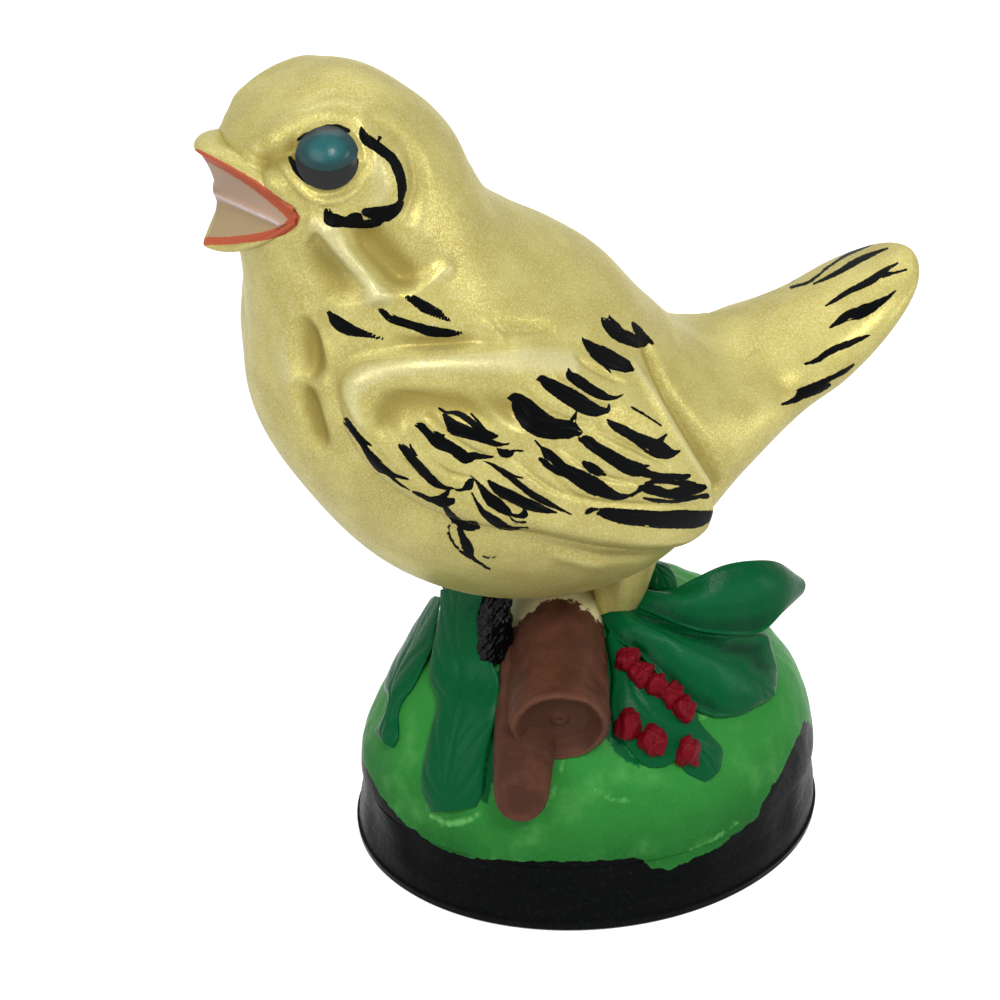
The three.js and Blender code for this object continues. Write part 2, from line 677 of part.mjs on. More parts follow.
const beakUpper = (grow) => beakHalf(upperLip, 1, grow);
const beakLower = (grow) => beakHalf(lowerLip, -1, grow);

// The dished lining between the lips, with a slip joint to each
function mouthLining(grow) {
  const inset = LINING_INSET * LUTE_GAP;
  return beakLoft((along) => {
    const front = grow > 0 ? -GAPE_CLEAR : LINING_SET_BACK;
    const upper = behindLip(upperLip(along), front, grow - inset);
    const lower = behindLip(lowerLip(along), front, inset - grow);
    const hollow = upper.clone().lerp(lower, 0.5);
    hollow.x += MOUTH_DEPTH * (1 - along * along) ** 2;
    return [
      upper,
      hollow,
      lower,
      behindLip(lower, BEAK_ROOT + grow - front, 0),
      behindLip(upper, BEAK_ROOT + grow - front, 0),
    ];
  }, grow);
}

// Legs and feet

function leg(side, grow) {
  const length = LEG_ROOT + 2 * PERCH_RISE;
  const top = LEG_TOP_RADIUS + grow;
  const low = LEG_LOW_RADIUS + grow;
  const geometry = new THREE.CylinderGeometry(top, low, length, ROUND_SIDES);
  geometry.rotateX(Math.PI / 2);
  geometry.translate(PERCH.x + LEG_X, side * LEG_Y, PERCH.z + LEG_ROOT - length / 2);
  return solidOf(geometry);
}

function foot(side, grow) {
  const length = LEG_ROOT + 3 * PERCH_RISE;
  const radius = TOE_RADIUS + grow;
  const geometry = new THREE.CylinderGeometry(radius, radius, length, ROUND_SIDES / 2);
  geometry.rotateX(Math.PI / 2);
  geometry.translate(PERCH.x + TOE_X, side * TOE_Y, PERCH.z + LEG_ROOT - length / 2);
  return solidOf(geometry);
}

// Log and branch: turned about a level axis, then sheared down so that the cut face stays upright

function oblique(geometry, start, heading, fall) {
  const along = new THREE.Vector3(-Math.sin(rad(heading)), -Math.cos(rad(heading)), -fall);
  const up = new THREE.Vector3(0, 0, 1);
  const across = new THREE.Vector3().crossVectors(along, up).normalize();
  const frame = new THREE.Matrix4().makeBasis(across, along, up).setPosition(start);
  return solidOf(geometry.applyMatrix4(frame));
}

function logPoint(along) {
  const heading = rad(LOG_HEADING);
  return new THREE.Vector3(
    PERCH.x - along * Math.sin(heading),
    PERCH.y - along * Math.cos(heading),
    LOG_Z - along * LOG_FALL,
  );
}

function cutTimber(radius, back, reach, rim, dish, grow) {
  const outside = radius + grow;
  const face = reach + grow;
  const profile = [
    [0, -back - grow],
    [outside, -back - grow],
    [outside, face - rim],
    [outside - RIM_CHAMFER * rim, face - RIM_CHAMFER * rim],
    [outside - rim, face],
    [radius - RIM_TO_DISH * rim - grow, face - dish],
    [0, face - dish],
  ];
  return new THREE.LatheGeometry(profile.map(([r, y]) => new THREE.Vector2(r, y)), ROUND_SIDES);
}

function logForm(grow) {
  const timber = cutTimber(LOG_RADIUS, LOG_BACK, LOG_REACH, LOG_RIM, LOG_DISH, grow);
  return oblique(timber, logPoint(0), LOG_HEADING, LOG_FALL);
}

function branchForm(grow) {
  const timber = cutTimber(BRANCH_RADIUS, BRANCH_BACK, BRANCH_REACH, BRANCH_RIM, BRANCH_DISH, grow);
  const heading = rad(LOG_HEADING);
  const aside = new THREE.Vector3(-Math.cos(heading), Math.sin(heading), 0).multiplyScalar(BRANCH_ASIDE);
  const start = logPoint(BRANCH_AT).add(aside);
  start.z -= BRANCH_BELOW;
  return oblique(timber, start, BRANCH_HEADING, BRANCH_FALL);
}

// Leaves: a lens section from edge to edge, carried along the leaf

function leafForm(name, grow) {
  const { edges, crown } = LEAVES[name];
  const curveOf = (edge) => new THREE.CatmullRomCurve3(edge.map((spot) => moundPoint(...spot)));
  const [left, right] = edges.map(curveOf);
  const normals = new THREE.CatmullRomCurve3(edges[0].map(([bearing, rise], number) => {
    const [otherBearing, otherRise] = edges[1][number];
    return moundNormal((bearing + otherBearing) / 2, (rise + otherRise) / 2);
  }));
  const rings = [];
  for (let step = 0; step <= LEAF_STEPS; step++) {
    const along = step / LEAF_STEPS;
    const middle = left.getPoint(along).lerp(right.getPoint(along), 0.5);
    const across = right.getPoint(along).sub(middle);
    const reach = across.length() + grow;
    across.normalize();
    const out = normals.getPoint(along);
    out.addScaledVector(across, -out.dot(across)).normalize();
    const full = Math.sin(Math.PI * lerp(...LEAF_ENDS, along)) ** LEAF_FULLNESS;
    const thick = (full * LEAF_THICKNESS) / 2 + grow;
    const ring = [];
    for (let side = 0; side < LEAF_SIDES; side++) {
      const round = (2 * Math.PI * side) / LEAF_SIDES;
      const point = middle.clone();
      point.addScaledVector(across, reach * Math.cos(round));
      point.addScaledVector(out, thick * Math.sin(round) + crown * Math.sin(round) ** 2);
      ring.push(point);
    }
    rings.push(ring);
  }
  const endOf = (along, beyond) => {
    const end = left.getPoint(along).lerp(right.getPoint(along), 0.5);
    return end.addScaledVector(left.getTangent(along), beyond);
  };
  return loft(rings, endOf(0, -grow), endOf(1, grow));
}

function berryForm(number, grow) {
  const [bearing, rise] = BERRIES[number];
  const spot = moundPoint(bearing, rise, BERRY_LIFT);
  const geometry = new THREE.SphereGeometry(BERRY_RADIUS + grow, BERRY_SIDES, BERRY_SIDES / 2);
  geometry.translate(spot.x, spot.y, spot.z);
  return solidOf(geometry);
}

// Assembly

const GOLD = 0xd2c486;
const BLACK = 0x14161a;
const MEADOW_GREEN = 0x52b04a;
const LEAF_GREEN = 0x0f6b3c;
const BROWN = 0x5d3627;
const BERRY_RED = 0xa8203c;
const TEAL = 0x1d5f6c;
const MOUTH_CREAM = 0xe4c9b8;

const leafOf = (name) => (grow) => leafForm(name, grow);
const legOf = (side) => (grow) => leg(side, grow);
const footOf = (side) => (grow) => foot(side, grow);
const LEFT = -1;
const RIGHT = 1;

const figurine = new THREE.Group();

function addPiece(name, solid, colour, roughness, metalness) {
  figurine.add(meshOf(name, solid, colour, roughness, metalness));
}

addPiece("plinth", plinth(), BLACK, 0.45);
addPiece("mound", mound(), MEADOW_GREEN, 0.5);
addPiece("main_log", seat(logForm, moundDome, bodyForm).subtract(ventPassage()), BROWN, 0.6);
addPiece("side_branch", seat(branchForm, moundDome, logForm), BROWN, 0.6);
addPiece("bird_body", birdBody(), GOLD, 0.35, 0.4);
addPiece("tail", tailForm(0), GOLD, 0.35, 0.4);

for (const [word, side] of [["left", LEFT], ["right", RIGHT]]) {
  addPiece(`wing_${word}`, seat(() => wing(side), bodyForm, tailForm), GOLD, 0.35, 0.4);
  addPiece(`eye_${word}`, seat(() => eye(side), bodyForm), TEAL, 0.2);
  addPiece(`leg_${word}`, seat(legOf(side), bodyForm, moundDome, logForm), GOLD, 0.35, 0.4);
  addPiece(`foot_${word}`, seat(footOf(side), bodyForm, moundDome, logForm, branchForm), BLACK, 0.45);
}

addPiece("beak_upper", beakUpper(0), GOLD, 0.35, 0.4);
addPiece("beak_lower", beakLower(0), GOLD, 0.35, 0.4);
addPiece("mouth_lining", mouthLining(0), MOUTH_CREAM, 0.5);

// Each leaf is seated on the mound, the bird, the timber and the leaves before it
const timber = [logForm, branchForm];
const stance = [legOf(LEFT), legOf(RIGHT), footOf(LEFT), footOf(RIGHT)];
const laidLeaves = [];
for (const name of Object.keys(LEAVES)) {
  const neighbours = [moundDome, bodyForm, ...timber, ...stance, ...laidLeaves];
  addPiece(name, seat(leafOf(name), ...neighbours), LEAF_GREEN, 0.5);
  laidLeaves.push(leafOf(name));
}

BERRIES.forEach((spot, number) => {
  const placed = BERRIES.slice(0, number).map((other, index) => (grow) => berryForm(index, grow));
  const berry = (grow) => berryForm(number, grow);
  const neighbours = [moundDome, ...laidLeaves, ...timber, ...placed];
  addPiece(`berry_${number + 1}`, seat(berry, ...neighbours), BERRY_RED, 0.3);
});

// The origin is the middle of the whole figurine's box, on the surface that it stands on
const box = new THREE.Box3().setFromObject(figurine);
const middle = box.getCenter(new THREE.Vector3());
figurine.position.set(-middle.x, -middle.y, -box.min.z);

export default figurine;
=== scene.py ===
import bpy
import numpy as np
from mathutils import Matrix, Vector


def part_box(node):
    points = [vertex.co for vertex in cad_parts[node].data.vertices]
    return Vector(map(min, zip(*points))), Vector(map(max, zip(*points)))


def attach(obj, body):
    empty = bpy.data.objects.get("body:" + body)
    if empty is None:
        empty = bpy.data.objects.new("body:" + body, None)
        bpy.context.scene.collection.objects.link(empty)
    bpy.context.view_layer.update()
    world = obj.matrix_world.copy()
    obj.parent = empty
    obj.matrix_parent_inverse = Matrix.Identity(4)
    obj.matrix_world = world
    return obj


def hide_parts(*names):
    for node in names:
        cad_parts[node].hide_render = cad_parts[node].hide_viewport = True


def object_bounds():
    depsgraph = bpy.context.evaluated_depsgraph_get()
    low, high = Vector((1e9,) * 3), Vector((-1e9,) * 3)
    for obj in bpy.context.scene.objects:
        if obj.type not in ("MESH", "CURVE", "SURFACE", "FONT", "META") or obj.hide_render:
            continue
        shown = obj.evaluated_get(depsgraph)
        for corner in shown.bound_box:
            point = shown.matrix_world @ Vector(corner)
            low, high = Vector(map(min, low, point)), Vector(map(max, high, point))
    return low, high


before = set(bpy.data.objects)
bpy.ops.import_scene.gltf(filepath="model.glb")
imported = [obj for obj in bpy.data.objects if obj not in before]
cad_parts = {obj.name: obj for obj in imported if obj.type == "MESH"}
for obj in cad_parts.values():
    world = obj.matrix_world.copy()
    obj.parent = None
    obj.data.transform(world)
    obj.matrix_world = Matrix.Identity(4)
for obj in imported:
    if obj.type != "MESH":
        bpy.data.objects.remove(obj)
cad_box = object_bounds()

METRES = 0.001
plinth_low, plinth_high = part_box("plinth")
BASE_SHIFT = np.array([
    (plinth_low.x + plinth_high.x) / 2 / METRES,
    (plinth_low.y + plinth_high.y) / 2 / METRES,
    plinth_low.z / METRES,
])

BOX_LOW, BOX_HIGH = (np.array(corner) / METRES - BASE_SHIFT for corner in cad_box)

# View of the photograph: degrees, millimetres and pixels
VIEW_BEARING = -22.0
VIEW_HEIGHT = 29.4
VIEW_DISTANCE = 330.0
AIM_SIDEWAYS = -12.0
AIM_HEIGHT = 47.8
FOCAL_PIXELS = 2574.0
PHOTO_SIZE = 1000.0
SENSOR_WIDTH = 36.0
CLIP_FAR = 10.0
PIXELS_PER_MM = FOCAL_PIXELS / VIEW_DISTANCE

# Plinth and mound
BASE_LENGTH = 64.0
BASE_WIDTH = 55.0
PLINTH_HEIGHT = 10.0
PLINTH_WAIST = 0.8
MOUND_HEIGHT = 25.0
MOUND_WALL = 4.0
MOUND_SPREAD_POWER = 0.9
MOUND_CLIMB_POWER = 1.15
MOUND_SEMI_LENGTH = BASE_LENGTH / 2 - PLINTH_WAIST
MOUND_SEMI_WIDTH = BASE_WIDTH / 2 - PLINTH_WAIST
MOUND_CREST = 0.985
MOUND_EVEN_RIM = 4.0
MOUND_NORMAL_RISES = (0.03, 0.96)
RISE_STEP = 0.02
# Unevenness of a surface: height and size of its swellings
MOUND_SWELLINGS = [(0.35, 17.0), (0.12, 6.0)]
PLINTH_SWELLINGS = [(0.3, 15.0)]
PLINTH_SWELL_INSET = 0.3
PLINTH_SWELL_HEIGHTS = (1.5, 4.5)
PLINTH_SWELL_TO = 2.0
# Upright profile of the plinth: height and inset from the base's outline
PLINTH_PROFILE = [(0, 6.0), (0, 1.2), (0.15, 0.5), (0.6, 0.1), (1.5, 0.0), (4, 0.25), (6.5, 0.6),
                  (8.5, 0.75), (9.6, 0.8), (9.95, 1.1), (9.9, 6.0), (5, 6.0), (0, 6.0)]

# Bird: sections on a fan of half-planes about a level line above its back
PERCH = np.array([-5.0, 0.0, 39.0])
FAN_X = 17.0
FAN_Z = 77.0
TAIL_JOINT = 273.0
FAN_ANGLE, BACK_RADIUS, BELLY_RADIUS, HALF_WIDTH = range(4)
BIRD_SECTIONS = np.array([
    [187, 46, 46, 0],
    [190, 40, 57, 10.5],
    [194, 37.5, 60.8, 13],
    [199, 35.5, 61.8, 14],
    [205, 34.5, 62.5, 14.5],
    [212, 34.8, 66, 16.5],
    [220, 35.2, 73, 19.5],
    [229, 34.4, 77, 22],
    [240, 33.8, 80.8, 23.5],
    [251, 35.3, 80.8, 22.5],
    [262, 40.5, 76.5, 19.5],
    [272, 46.3, 65, 15.5],
    [281, 47.4, 60, 12],
    [290, 47.8, 58.5, 10],
    [298, 48, 56.2, 8.6],
    [304.5, 49.5, 53.8, 6.2],
    [308.3, 51.4, 51.4, 0],
])
FAN_START = BIRD_SECTIONS[0, FAN_ANGLE]
FAN_SPAN = BIRD_SECTIONS[-1, FAN_ANGLE] - FAN_START
DENSE_TO = 224.0
DENSE_SHARE = 0.6

# Wing outline on the side of the bird, x and z from the belly point
WING_TOP = [(-34, 39.5), (-32, 43), (-27, 44.6), (-19, 44.4), (-9.6, 43.5), (-1, 41.5),
            (5, 37.5), (7.5, 31.5), (10, 25), (12.4, 14.6)]
WING_LOW = [(-34, 39.5), (-33.3, 34.5), (-30.5, 29), (-25.6, 24.6), (-20, 22), (-13.3, 20.2),
            (-4, 15.8), (5, 12.2), (9.6, 11.8), (12.4, 14.6)]
WING_STAND_FRONT = 1.1
WING_STAND_REAR = 2.6
WING_ROOT = 3.0
WING_SINK = 0.35
WING_END = 0.004
WING_SWELL_SPAN = (0.1, 0.7)
WING_TOP_RISE = (0.0, 0.3)
WING_SHOULDER_RISE = (0.0, 0.12)
WING_LIP = 0.12
WING_REAR_LIP = 0.07
SIDE_HOLD = 0.8
LEAST_DEPTH = 1e-6

# Head
EYE_X = -33.1
EYE_Z = 65.9
EYE_REACH = 3.5
EYE_STAND = {-1: 1.0, 1: 0.15}
EYE_FALL = 1.7
IRIS_RISE = 0.35
IRIS_SEMI = (3.4, 2.4)
IRIS_UP = 0.85
EYE_BACK = 3.0
EYE_PROBE = 0.2
EYE_FIRST_SHARE = 0.01
IRIS_ROUND = 0.6
LID_EDGE = 0.12
LID_BELOW = 0.6
BEAK_UPPER_TIP = (-44.6, 63.8)
BEAK_LOWER_TIP = (-44.3, 52.8)
GAPE_CORNER = (-36.5, 59.0)
GAPE_HALF_WIDTH = 11.2
GAPE_REACH = 0.97
UPPER_LIP_BOW = (1.65, 2.8)
LOWER_LIP_BOW = (1.3, 2.1)
THROAT = (-27.0, 0.0, 59.0)
CHIN_HEIGHT = 52.0
LINING_INSET = 0.5
LINING_DISH = 1.6
LINING_DISH_POWER = 2.5
LINING_THICKNESS = 2.2
TONGUE_RISE = 0.5
TONGUE_HALF_WIDTH = 4.0
TONGUE_WAY = (0.8, 0.0, -0.6)
# Section of the beak: depth behind the lip and height above it
BEAK_PROFILE = [(0.3, 0.0), (0.05, 0.18), (0.1, 0.5), (0.6, 0.95), (1.4, 1.3), (2.6, 1.6), (4.2, 1.3),
                (4.6, 0.4), (3.6, -0.3), (1.6, -0.1), (0.3, 0.0)]

# Legs, feet, log and branch
LEG_SPOT = (2.0, 6.0)
LEG_RADII = (2.2, 5.0)
LEG_LEAN = 1.6
LEG_SINK = 8.0
LEG_HEIGHT = 14.0
LEG_TAPER_POWER = 0.9
LEG_FLUTE = 0.2
LEG_FLUTE_RISE = (0.0, 0.4)
LEG_INSET = 0.3
FOOT_SPOT = (-16.2, 5.2)
FOOT_RADIUS = 2.4
FOOT_SINK = 7.5
FOOT_HEIGHT = 11.0
FOOT_SPREAD = 0.2
TOE_BULGE = 0.25
TOE_TURN = 0.6
TOE_FADE = (0.2, 0.5)
FOOT_SWELLINGS = [(0.28, 1.7), (0.16, 0.8)]
LOG_RADIUS = 6.4
LOG_HEADING = 22.0
LOG_FALL = 0.19
LOG_ABOVE_PERCH = 0.8
LOG_Z = PERCH[2] + LOG_ABOVE_PERCH - LOG_RADIUS
BRANCH_HEADING = 27.0
BRANCH_FALL = 0.57
BRANCH_SHARE = 0.22
BRANCH_AT = BRANCH_SHARE * BASE_WIDTH
BRANCH_ASIDE = 3.6
BRANCH_BELOW = 2.0
LOG_BARK = [(0.14, 5.0), (0.07, 2.3)]
BRANCH_BARK = [(0.12, 5.0), (0.06, 2.3)]
LOG_LEAN = 0.22
LEAN_SPAN = (8.0, 19.0)
# Width of the painted highlight round the log's rim
RIM_HIGHLIGHT_WIDTH = 0.7
BARK_FADE = (0.5, 2.0)
# Depths over which painted shade comes into the cut face
FACE_FADE = (0.3, 1.2)
# Turned profiles: distance along and radius
LOG_PROFILE = [(-9, 0.05), (-9, 6.2), (-4, 6.3), (4, 6.1), (12, 6.2), (18, 6.3), (21.0, 6.35), (22.0, 6.2),
               (22.45, 5.7), (22.3, 5.2), (21.6, 4.6), (20.9, 3.6), (20.7, 2.2), (20.7, 1.3), (21.05, 0.9),
               (21.1, 0.5), (20.8, 0.05)]
BRANCH_PROFILE = [(-4, 0.05), (-4, 4.0), (0, 4.0), (5, 4.0), (10, 3.8), (13.2, 3.5), (14.0, 3.3),
                  (14.6, 2.8), (14.8, 2.2), (14.7, 1.5), (14.6, 0.05)]

# Leaves: two edges from one end to the other as bearing on the mound, rise (0 rim, 1 crest) and height
# above the mound; height of the middle above the edges; ridges along the leaf, side veins and their depth
LEAF_THICKNESS = 1.8
LEAF_FULLNESS = 0.4
LEAF_ENDS = (0.06, 0.94)
LEAVES = {
    "leaf_front": dict(
        edges=[
            [(-153, 0.13, 0.3), (-157, 0.18, 0.5), (-159, 0.24, 0.7), (-161, 0.34, 0.9), (-165, 0.44, 1),
             (-175, 0.48, 1.5), (-178, 0.51, 4), (-174, 0.52, 9), (-171, 0.51, 14)],
            [(-140, 0.2, 0.3), (-139, 0.25, 0.5), (-140, 0.32, 0.7), (-141, 0.4, 0.8), (-142, 0.49, 0.8),
             (-147, 0.58, 1), (-154, 0.6, 3), (-159, 0.59, 8), (-154, 0.57, 13)],
        ],
        crown=0.5, ridges=0, ridge_height=0.0, veins=6, vein_depth=0.16),
    "leaf_side": dict(
        edges=[
            [(-180, 0.24, 0.2), (-187, 0.23, 0.2), (-185, 0.31, 0.2), (-189, 0.34, 0.3), (-198, 0.32, 0.4),
             (-205, 0.36, 0.6), (-211, 0.4, 0.8), (-215, 0.44, 1.5), (-213, 0.52, 3)],
            [(-174, 0.25, 0.2), (-174, 0.29, 0.2), (-179, 0.34, 0.2), (-181, 0.38, 0.3), (-181, 0.43, 0.5),
             (-184, 0.49, 0.8), (-188, 0.54, 1.5), (-194, 0.56, 3), (-195, 0.58, 6)],
        ],
        crown=0.3, ridges=0, ridge_height=0.0, veins=4, vein_depth=0.12),
    "leaf_berry": dict(
        edges=[
            [(-96, 0.8, 0.4), (-91, 0.69, 0.5), (-85, 0.6, 0.5), (-80, 0.54, 0.5), (-76, 0.48, 0.5),
             (-76, 0.43, 0.4), (-74, 0.38, 0.3), (-72, 0.33, 0.2), (-74, 0.28, 0.2)],
            [(-102, 0.76, 0.4), (-102, 0.64, 0.5), (-104, 0.52, 0.5), (-101, 0.43, 0.5), (-96, 0.35, 0.4),
             (-91, 0.33, 0.4), (-87, 0.335, 0.5), (-84, 0.29, 0.3), (-80, 0.25, 0.2)],
        ],
        crown=0.4, ridges=0, ridge_height=0.0, veins=3, vein_depth=0.15),
    "leaf_broad": dict(
        edges=[
            [(-105, 0.87, 0.6), (-98, 0.75, 1.2), (-89, 0.67, 1.4), (-84, 0.57, 1.4), (-78, 0.48, 1),
             (-71, 0.42, 0.8), (-62, 0.39, 0.6), (-53, 0.38, 0.4)],
            [(-84, 0.9, 0.8), (-70, 0.78, 2), (-61, 0.65, 3.5), (-49, 0.54, 4.5), (-36, 0.46, 4.5),
             (-36, 0.43, 3.5), (-38, 0.39, 2), (-43, 0.37, 0.8)],
        ],
        crown=0.8, ridges=1.4, ridge_height=0.4, veins=5, vein_depth=0.12),
    "leaf_curled": dict(
        edges=[
            [(-60, 0.92, 1), (-61, 0.83, 3), (-61, 0.74, 6), (-57, 0.68, 9), (-48, 0.61, 12),
             (-40, 0.53, 14), (-29, 0.44, 14.5), (-20, 0.33, 14)],
            [(-79, 0.89, 1), (-75, 0.77, 3), (-66, 0.63, 4.5), (-56, 0.54, 5.5), (-47, 0.48, 6),
             (-43, 0.43, 8), (-38, 0.38, 11), (-26, 0.31, 13)],
        ],
        crown=0.6, ridges=1.0, ridge_height=0.35, veins=0, vein_depth=0.0),
    "leaf_back": dict(
        edges=[
            [(20, 0.8, 1), (0, 0.8, 2), (-12, 0.8, 2.5), (-24, 0.79, 2.2), (-34, 0.78, 1.5)],
            [(24, 0.92, 0.6), (0, 0.92, 1), (-14, 0.9, 1.4), (-28, 0.88, 1.4), (-36, 0.84, 1)],
        ],
        crown=0.3, ridges=0, ridge_height=0.0, veins=4, vein_depth=0.2),
}

# Berries
BERRY_RADIUS = 1.5
BERRY_LIFT = 1.8
POLE_GAP = 0.03
# Lumps of a berry: height as a share of the radius, and size
BERRY_LUMP = (0.3, 2.7)
BERRY_GRAIN = (0.1, 0.8)
BERRY_STRIDE = 3.0
BERRY_SWELL = [1.12] * 5 + [1.3] * 3
# Bearing and rise of each berry on the mound
BERRIES = [(-95.4, 0.65), (-91.1, 0.6), (-87.2, 0.555), (-83, 0.515), (-80.7, 0.46),
           (-99.4, 0.45), (-93, 0.39), (-83.6, 0.33)]

# Fineness of the meshes: rows and sides
BODY_GRID = (300, 320)
TAIL_GRID = (180, 240)
WING_GRID = (310, 270)
WING_INNER_STEP = 14
EYE_GRID = (90, 140)
BEAK_GRID = (161, 60)
LINING_GRID = (161, 81)
LINING_BACK_STEP = 8
MOUND_GRID = (110, 240)
MOUND_INNER_ROWS = 40
PLINTH_GRID = (144, 300)
TIMBER_GRID = (200, 120)
LEG_GRID = (60, 90)
FOOT_GRID = (90, 120)
LEAF_GRID = (170, 160)
BERRY_GRID = (50, 64)

# Modelled ridges and hollows of the bird's sides: rise, half width and line as x and z from the belly point
SIDE_RELIEF = {
    "brow": (0.3, 1.4, [(-40.3, 65), (-38, 67), (-36, 68.5), (-33, 69.5), (-30.5, 70), (-28, 69.5),
                        (-25.7, 68), (-24, 65.5)]),
    "lore": (-1.1, 1.4, [(-40.3, 63.6), (-39.3, 65), (-37.8, 65.7), (-36.5, 66.5)]),
    "cheek": (0.5, 1.6, [(-28, 65), (-27.5, 63), (-28, 61)]),
    "cheek_valley": (-0.7, 1.3, [(-26.5, 68.4), (-24.2, 66.4), (-23, 64), (-23, 61.4), (-24.4, 58.8)]),
    "throat_fold": (1.0, 1.3, [(-33.2, 58), (-31.8, 55.2), (-30.2, 52.7), (-28.8, 50.7)]),
    "throat_side": (-0.5, 1.8, [(-34.7, 55.7), (-34, 53.2), (-33, 50.4)]),
    "neck_hollow": (-1.2, 2.6, [(-28.5, 56), (-27.2, 54), (-26, 52.2)]),
    "collar": (0.5, 1.0, [(-28.7, 50), (-26.3, 50), (-23.4, 51), (-20.7, 52.2)]),
    "breast_hollow": (-0.6, 1.8, [(-34.3, 47.6), (-35.3, 44), (-36, 40), (-36, 36), (-35.5, 32.4)]),
    "breast_ridge": (0.5, 1.4, [(-37.4, 43.3), (-37.9, 38.3)]),
    "shoulder_groove": (-0.5, 1.0, [(-33.3, 36), (-34, 38.8), (-33.5, 41.4), (-31.2, 43.6), (-27.2, 44.5),
                                    (-21.7, 44.6), (-15, 43.6)]),
    "shoulder_ridge": (0.7, 1.6, [(-32, 36.6), (-32.6, 38.8), (-31.6, 40.9), (-28.9, 42.1), (-24.5, 42.4),
                                  (-19.3, 42.1), (-13.2, 41.4), (-7.7, 39.9)]),
    "shoulder_hollow": (-1.2, 2.2, [(-30.2, 36.6), (-28.8, 38.3), (-26.6, 39.1), (-24, 38.8), (-20.2, 38.2),
                                    (-16.4, 37.2)]),
    "behind_wing": (-0.9, 1.2, [(5, 36.7), (6.2, 32.5), (8.5, 28), (11.5, 22.7), (13.7, 18.3)]),
    "wing_rim": (0.5, 0.8, [(1.7, 36.5), (3.5, 33.3), (5.7, 29), (8, 24.5), (10.2, 21)]),
}

# Finer modelling: rise in mm, half width and line in photograph pixels
FINE_RELIEF = {
    "eye_ring": (0.4, 4, [(284, 176), (300, 192), (320, 201), (342, 199), (358, 188), (369, 170)]),
    "lip_strip": (0.2, 6, [(226, 152), (250, 168), (272, 184), (292, 203)]),
    "lip_crease": (-0.5, 6, [(242, 154), (264, 163), (284, 181), (302, 204), (307, 222)]),
    "corner_pinch": (0.35, 5, [(309, 214), (311, 229), (305, 244)]),
    "cheek_swell": (0.4, 17, [(388, 208), (412, 226), (430, 244)]),
    "neck_pit": (-0.6, 13, [(346, 222), (358, 236), (370, 250), (384, 263), (400, 274), (420, 282)]),
    "throat_pit": (-0.6, 17, [(300, 254), (314, 263), (330, 273), (346, 284), (364, 296)]),
    "throat_crest": (0.4, 6, [(316, 218), (327, 231), (341, 246), (354, 260), (366, 276), (380, 294)]),
    "throat_top": (0.4, 9, [(308, 212), (322, 228), (334, 242), (346, 256), (360, 272)]),
    "collar_rim": (0.3, 7, [(296, 308), (330, 307), (356, 304), (384, 294), (410, 285)]),
    "scallop": (0.35, 4, [(483, 317), (491, 327), (500, 336), (510, 342)]),
    "scallop_hollow": (-0.6, 7, [(494, 326), (512, 330), (532, 331), (556, 328)]),
    "collar_hollow": (-0.6, 7, [(386, 338), (408, 342), (430, 344), (462, 342), (480, 336)]),
    "wing_front": (0.4, 5, [(304, 308), (312, 322), (320, 338), (328, 356), (332, 372)]),
    "upper_pit": (-1.0, 12, [(298, 318), (303, 332), (307, 347), (312, 362), (318, 378)]),
    "front_fold": (0.3, 6, [(294, 378), (306, 383), (318, 386), (332, 390)]),
    "lower_pit": (-1.1, 7, [(298, 380), (302, 394), (308, 410), (315, 430), (324, 454)]),
    "breast_swell": (0.5, 9, [(292, 314), (286, 335), (285, 355), (289, 374), (293, 396), (296, 418)]),
    "lead_feather": (0.45, 6, [(352, 408), (364, 422), (378, 437), (391, 453), (408, 474)]),
    "second_feather": (0.35, 6, [(398, 424), (412, 446), (430, 464), (448, 478)]),
    "middle_feather": (0.45, 8, [(466, 390), (480, 402), (497, 416), (518, 432), (546, 450)]),
    "lower_feather": (0.35, 7, [(490, 452), (510, 468), (535, 486), (560, 500)]),
    "belly_crease": (-0.3, 5, [(535, 540), (570, 550), (605, 557), (653, 556), (690, 550)]),
    "belly_bump": (0.35, 7, [(548, 552), (566, 557), (590, 564), (606, 566)]),
    "tail_hollow": (-0.6, 16, [(755, 350), (775, 378), (790, 400), (800, 416)]),
}
# Modelling that keeps its height to its ends: the eye's socket and the mouth's opening
SOCKET = (-0.5, 6, [(293, 136), (288, 150), (294, 172), (312, 190), (330, 194), (352, 185),
                    (365, 166), (363, 144), (350, 126), (330, 120), (308, 124), (293, 136)])
GAPE = [
    (-3.2, 18, [(214, 172), (224, 200), (218, 226)]),
    (-3.4, 10, [(240, 202), (262, 212), (282, 220)]),
]
FEATHER_GROOVE = (-0.4, 3.5)
FEATHER_GROOVES = [
    [(572, 356), (600, 372), (628, 386)],
    [(552, 376), (582, 394), (615, 404)],
    [(520, 385), (555, 415), (600, 425)],
    [(594, 428), (632, 447), (672, 466)],
    [(556, 444), (600, 475), (642, 484)],
    [(540, 462), (580, 498), (640, 505), (700, 506)],
    [(510, 455), (545, 485), (585, 503)],
    [(485, 490), (515, 508), (545, 517)],
    [(425, 415), (465, 447), (500, 462)],
    [(410, 440), (445, 472), (475, 480)],
    [(375, 425), (400, 460), (430, 485)],
]

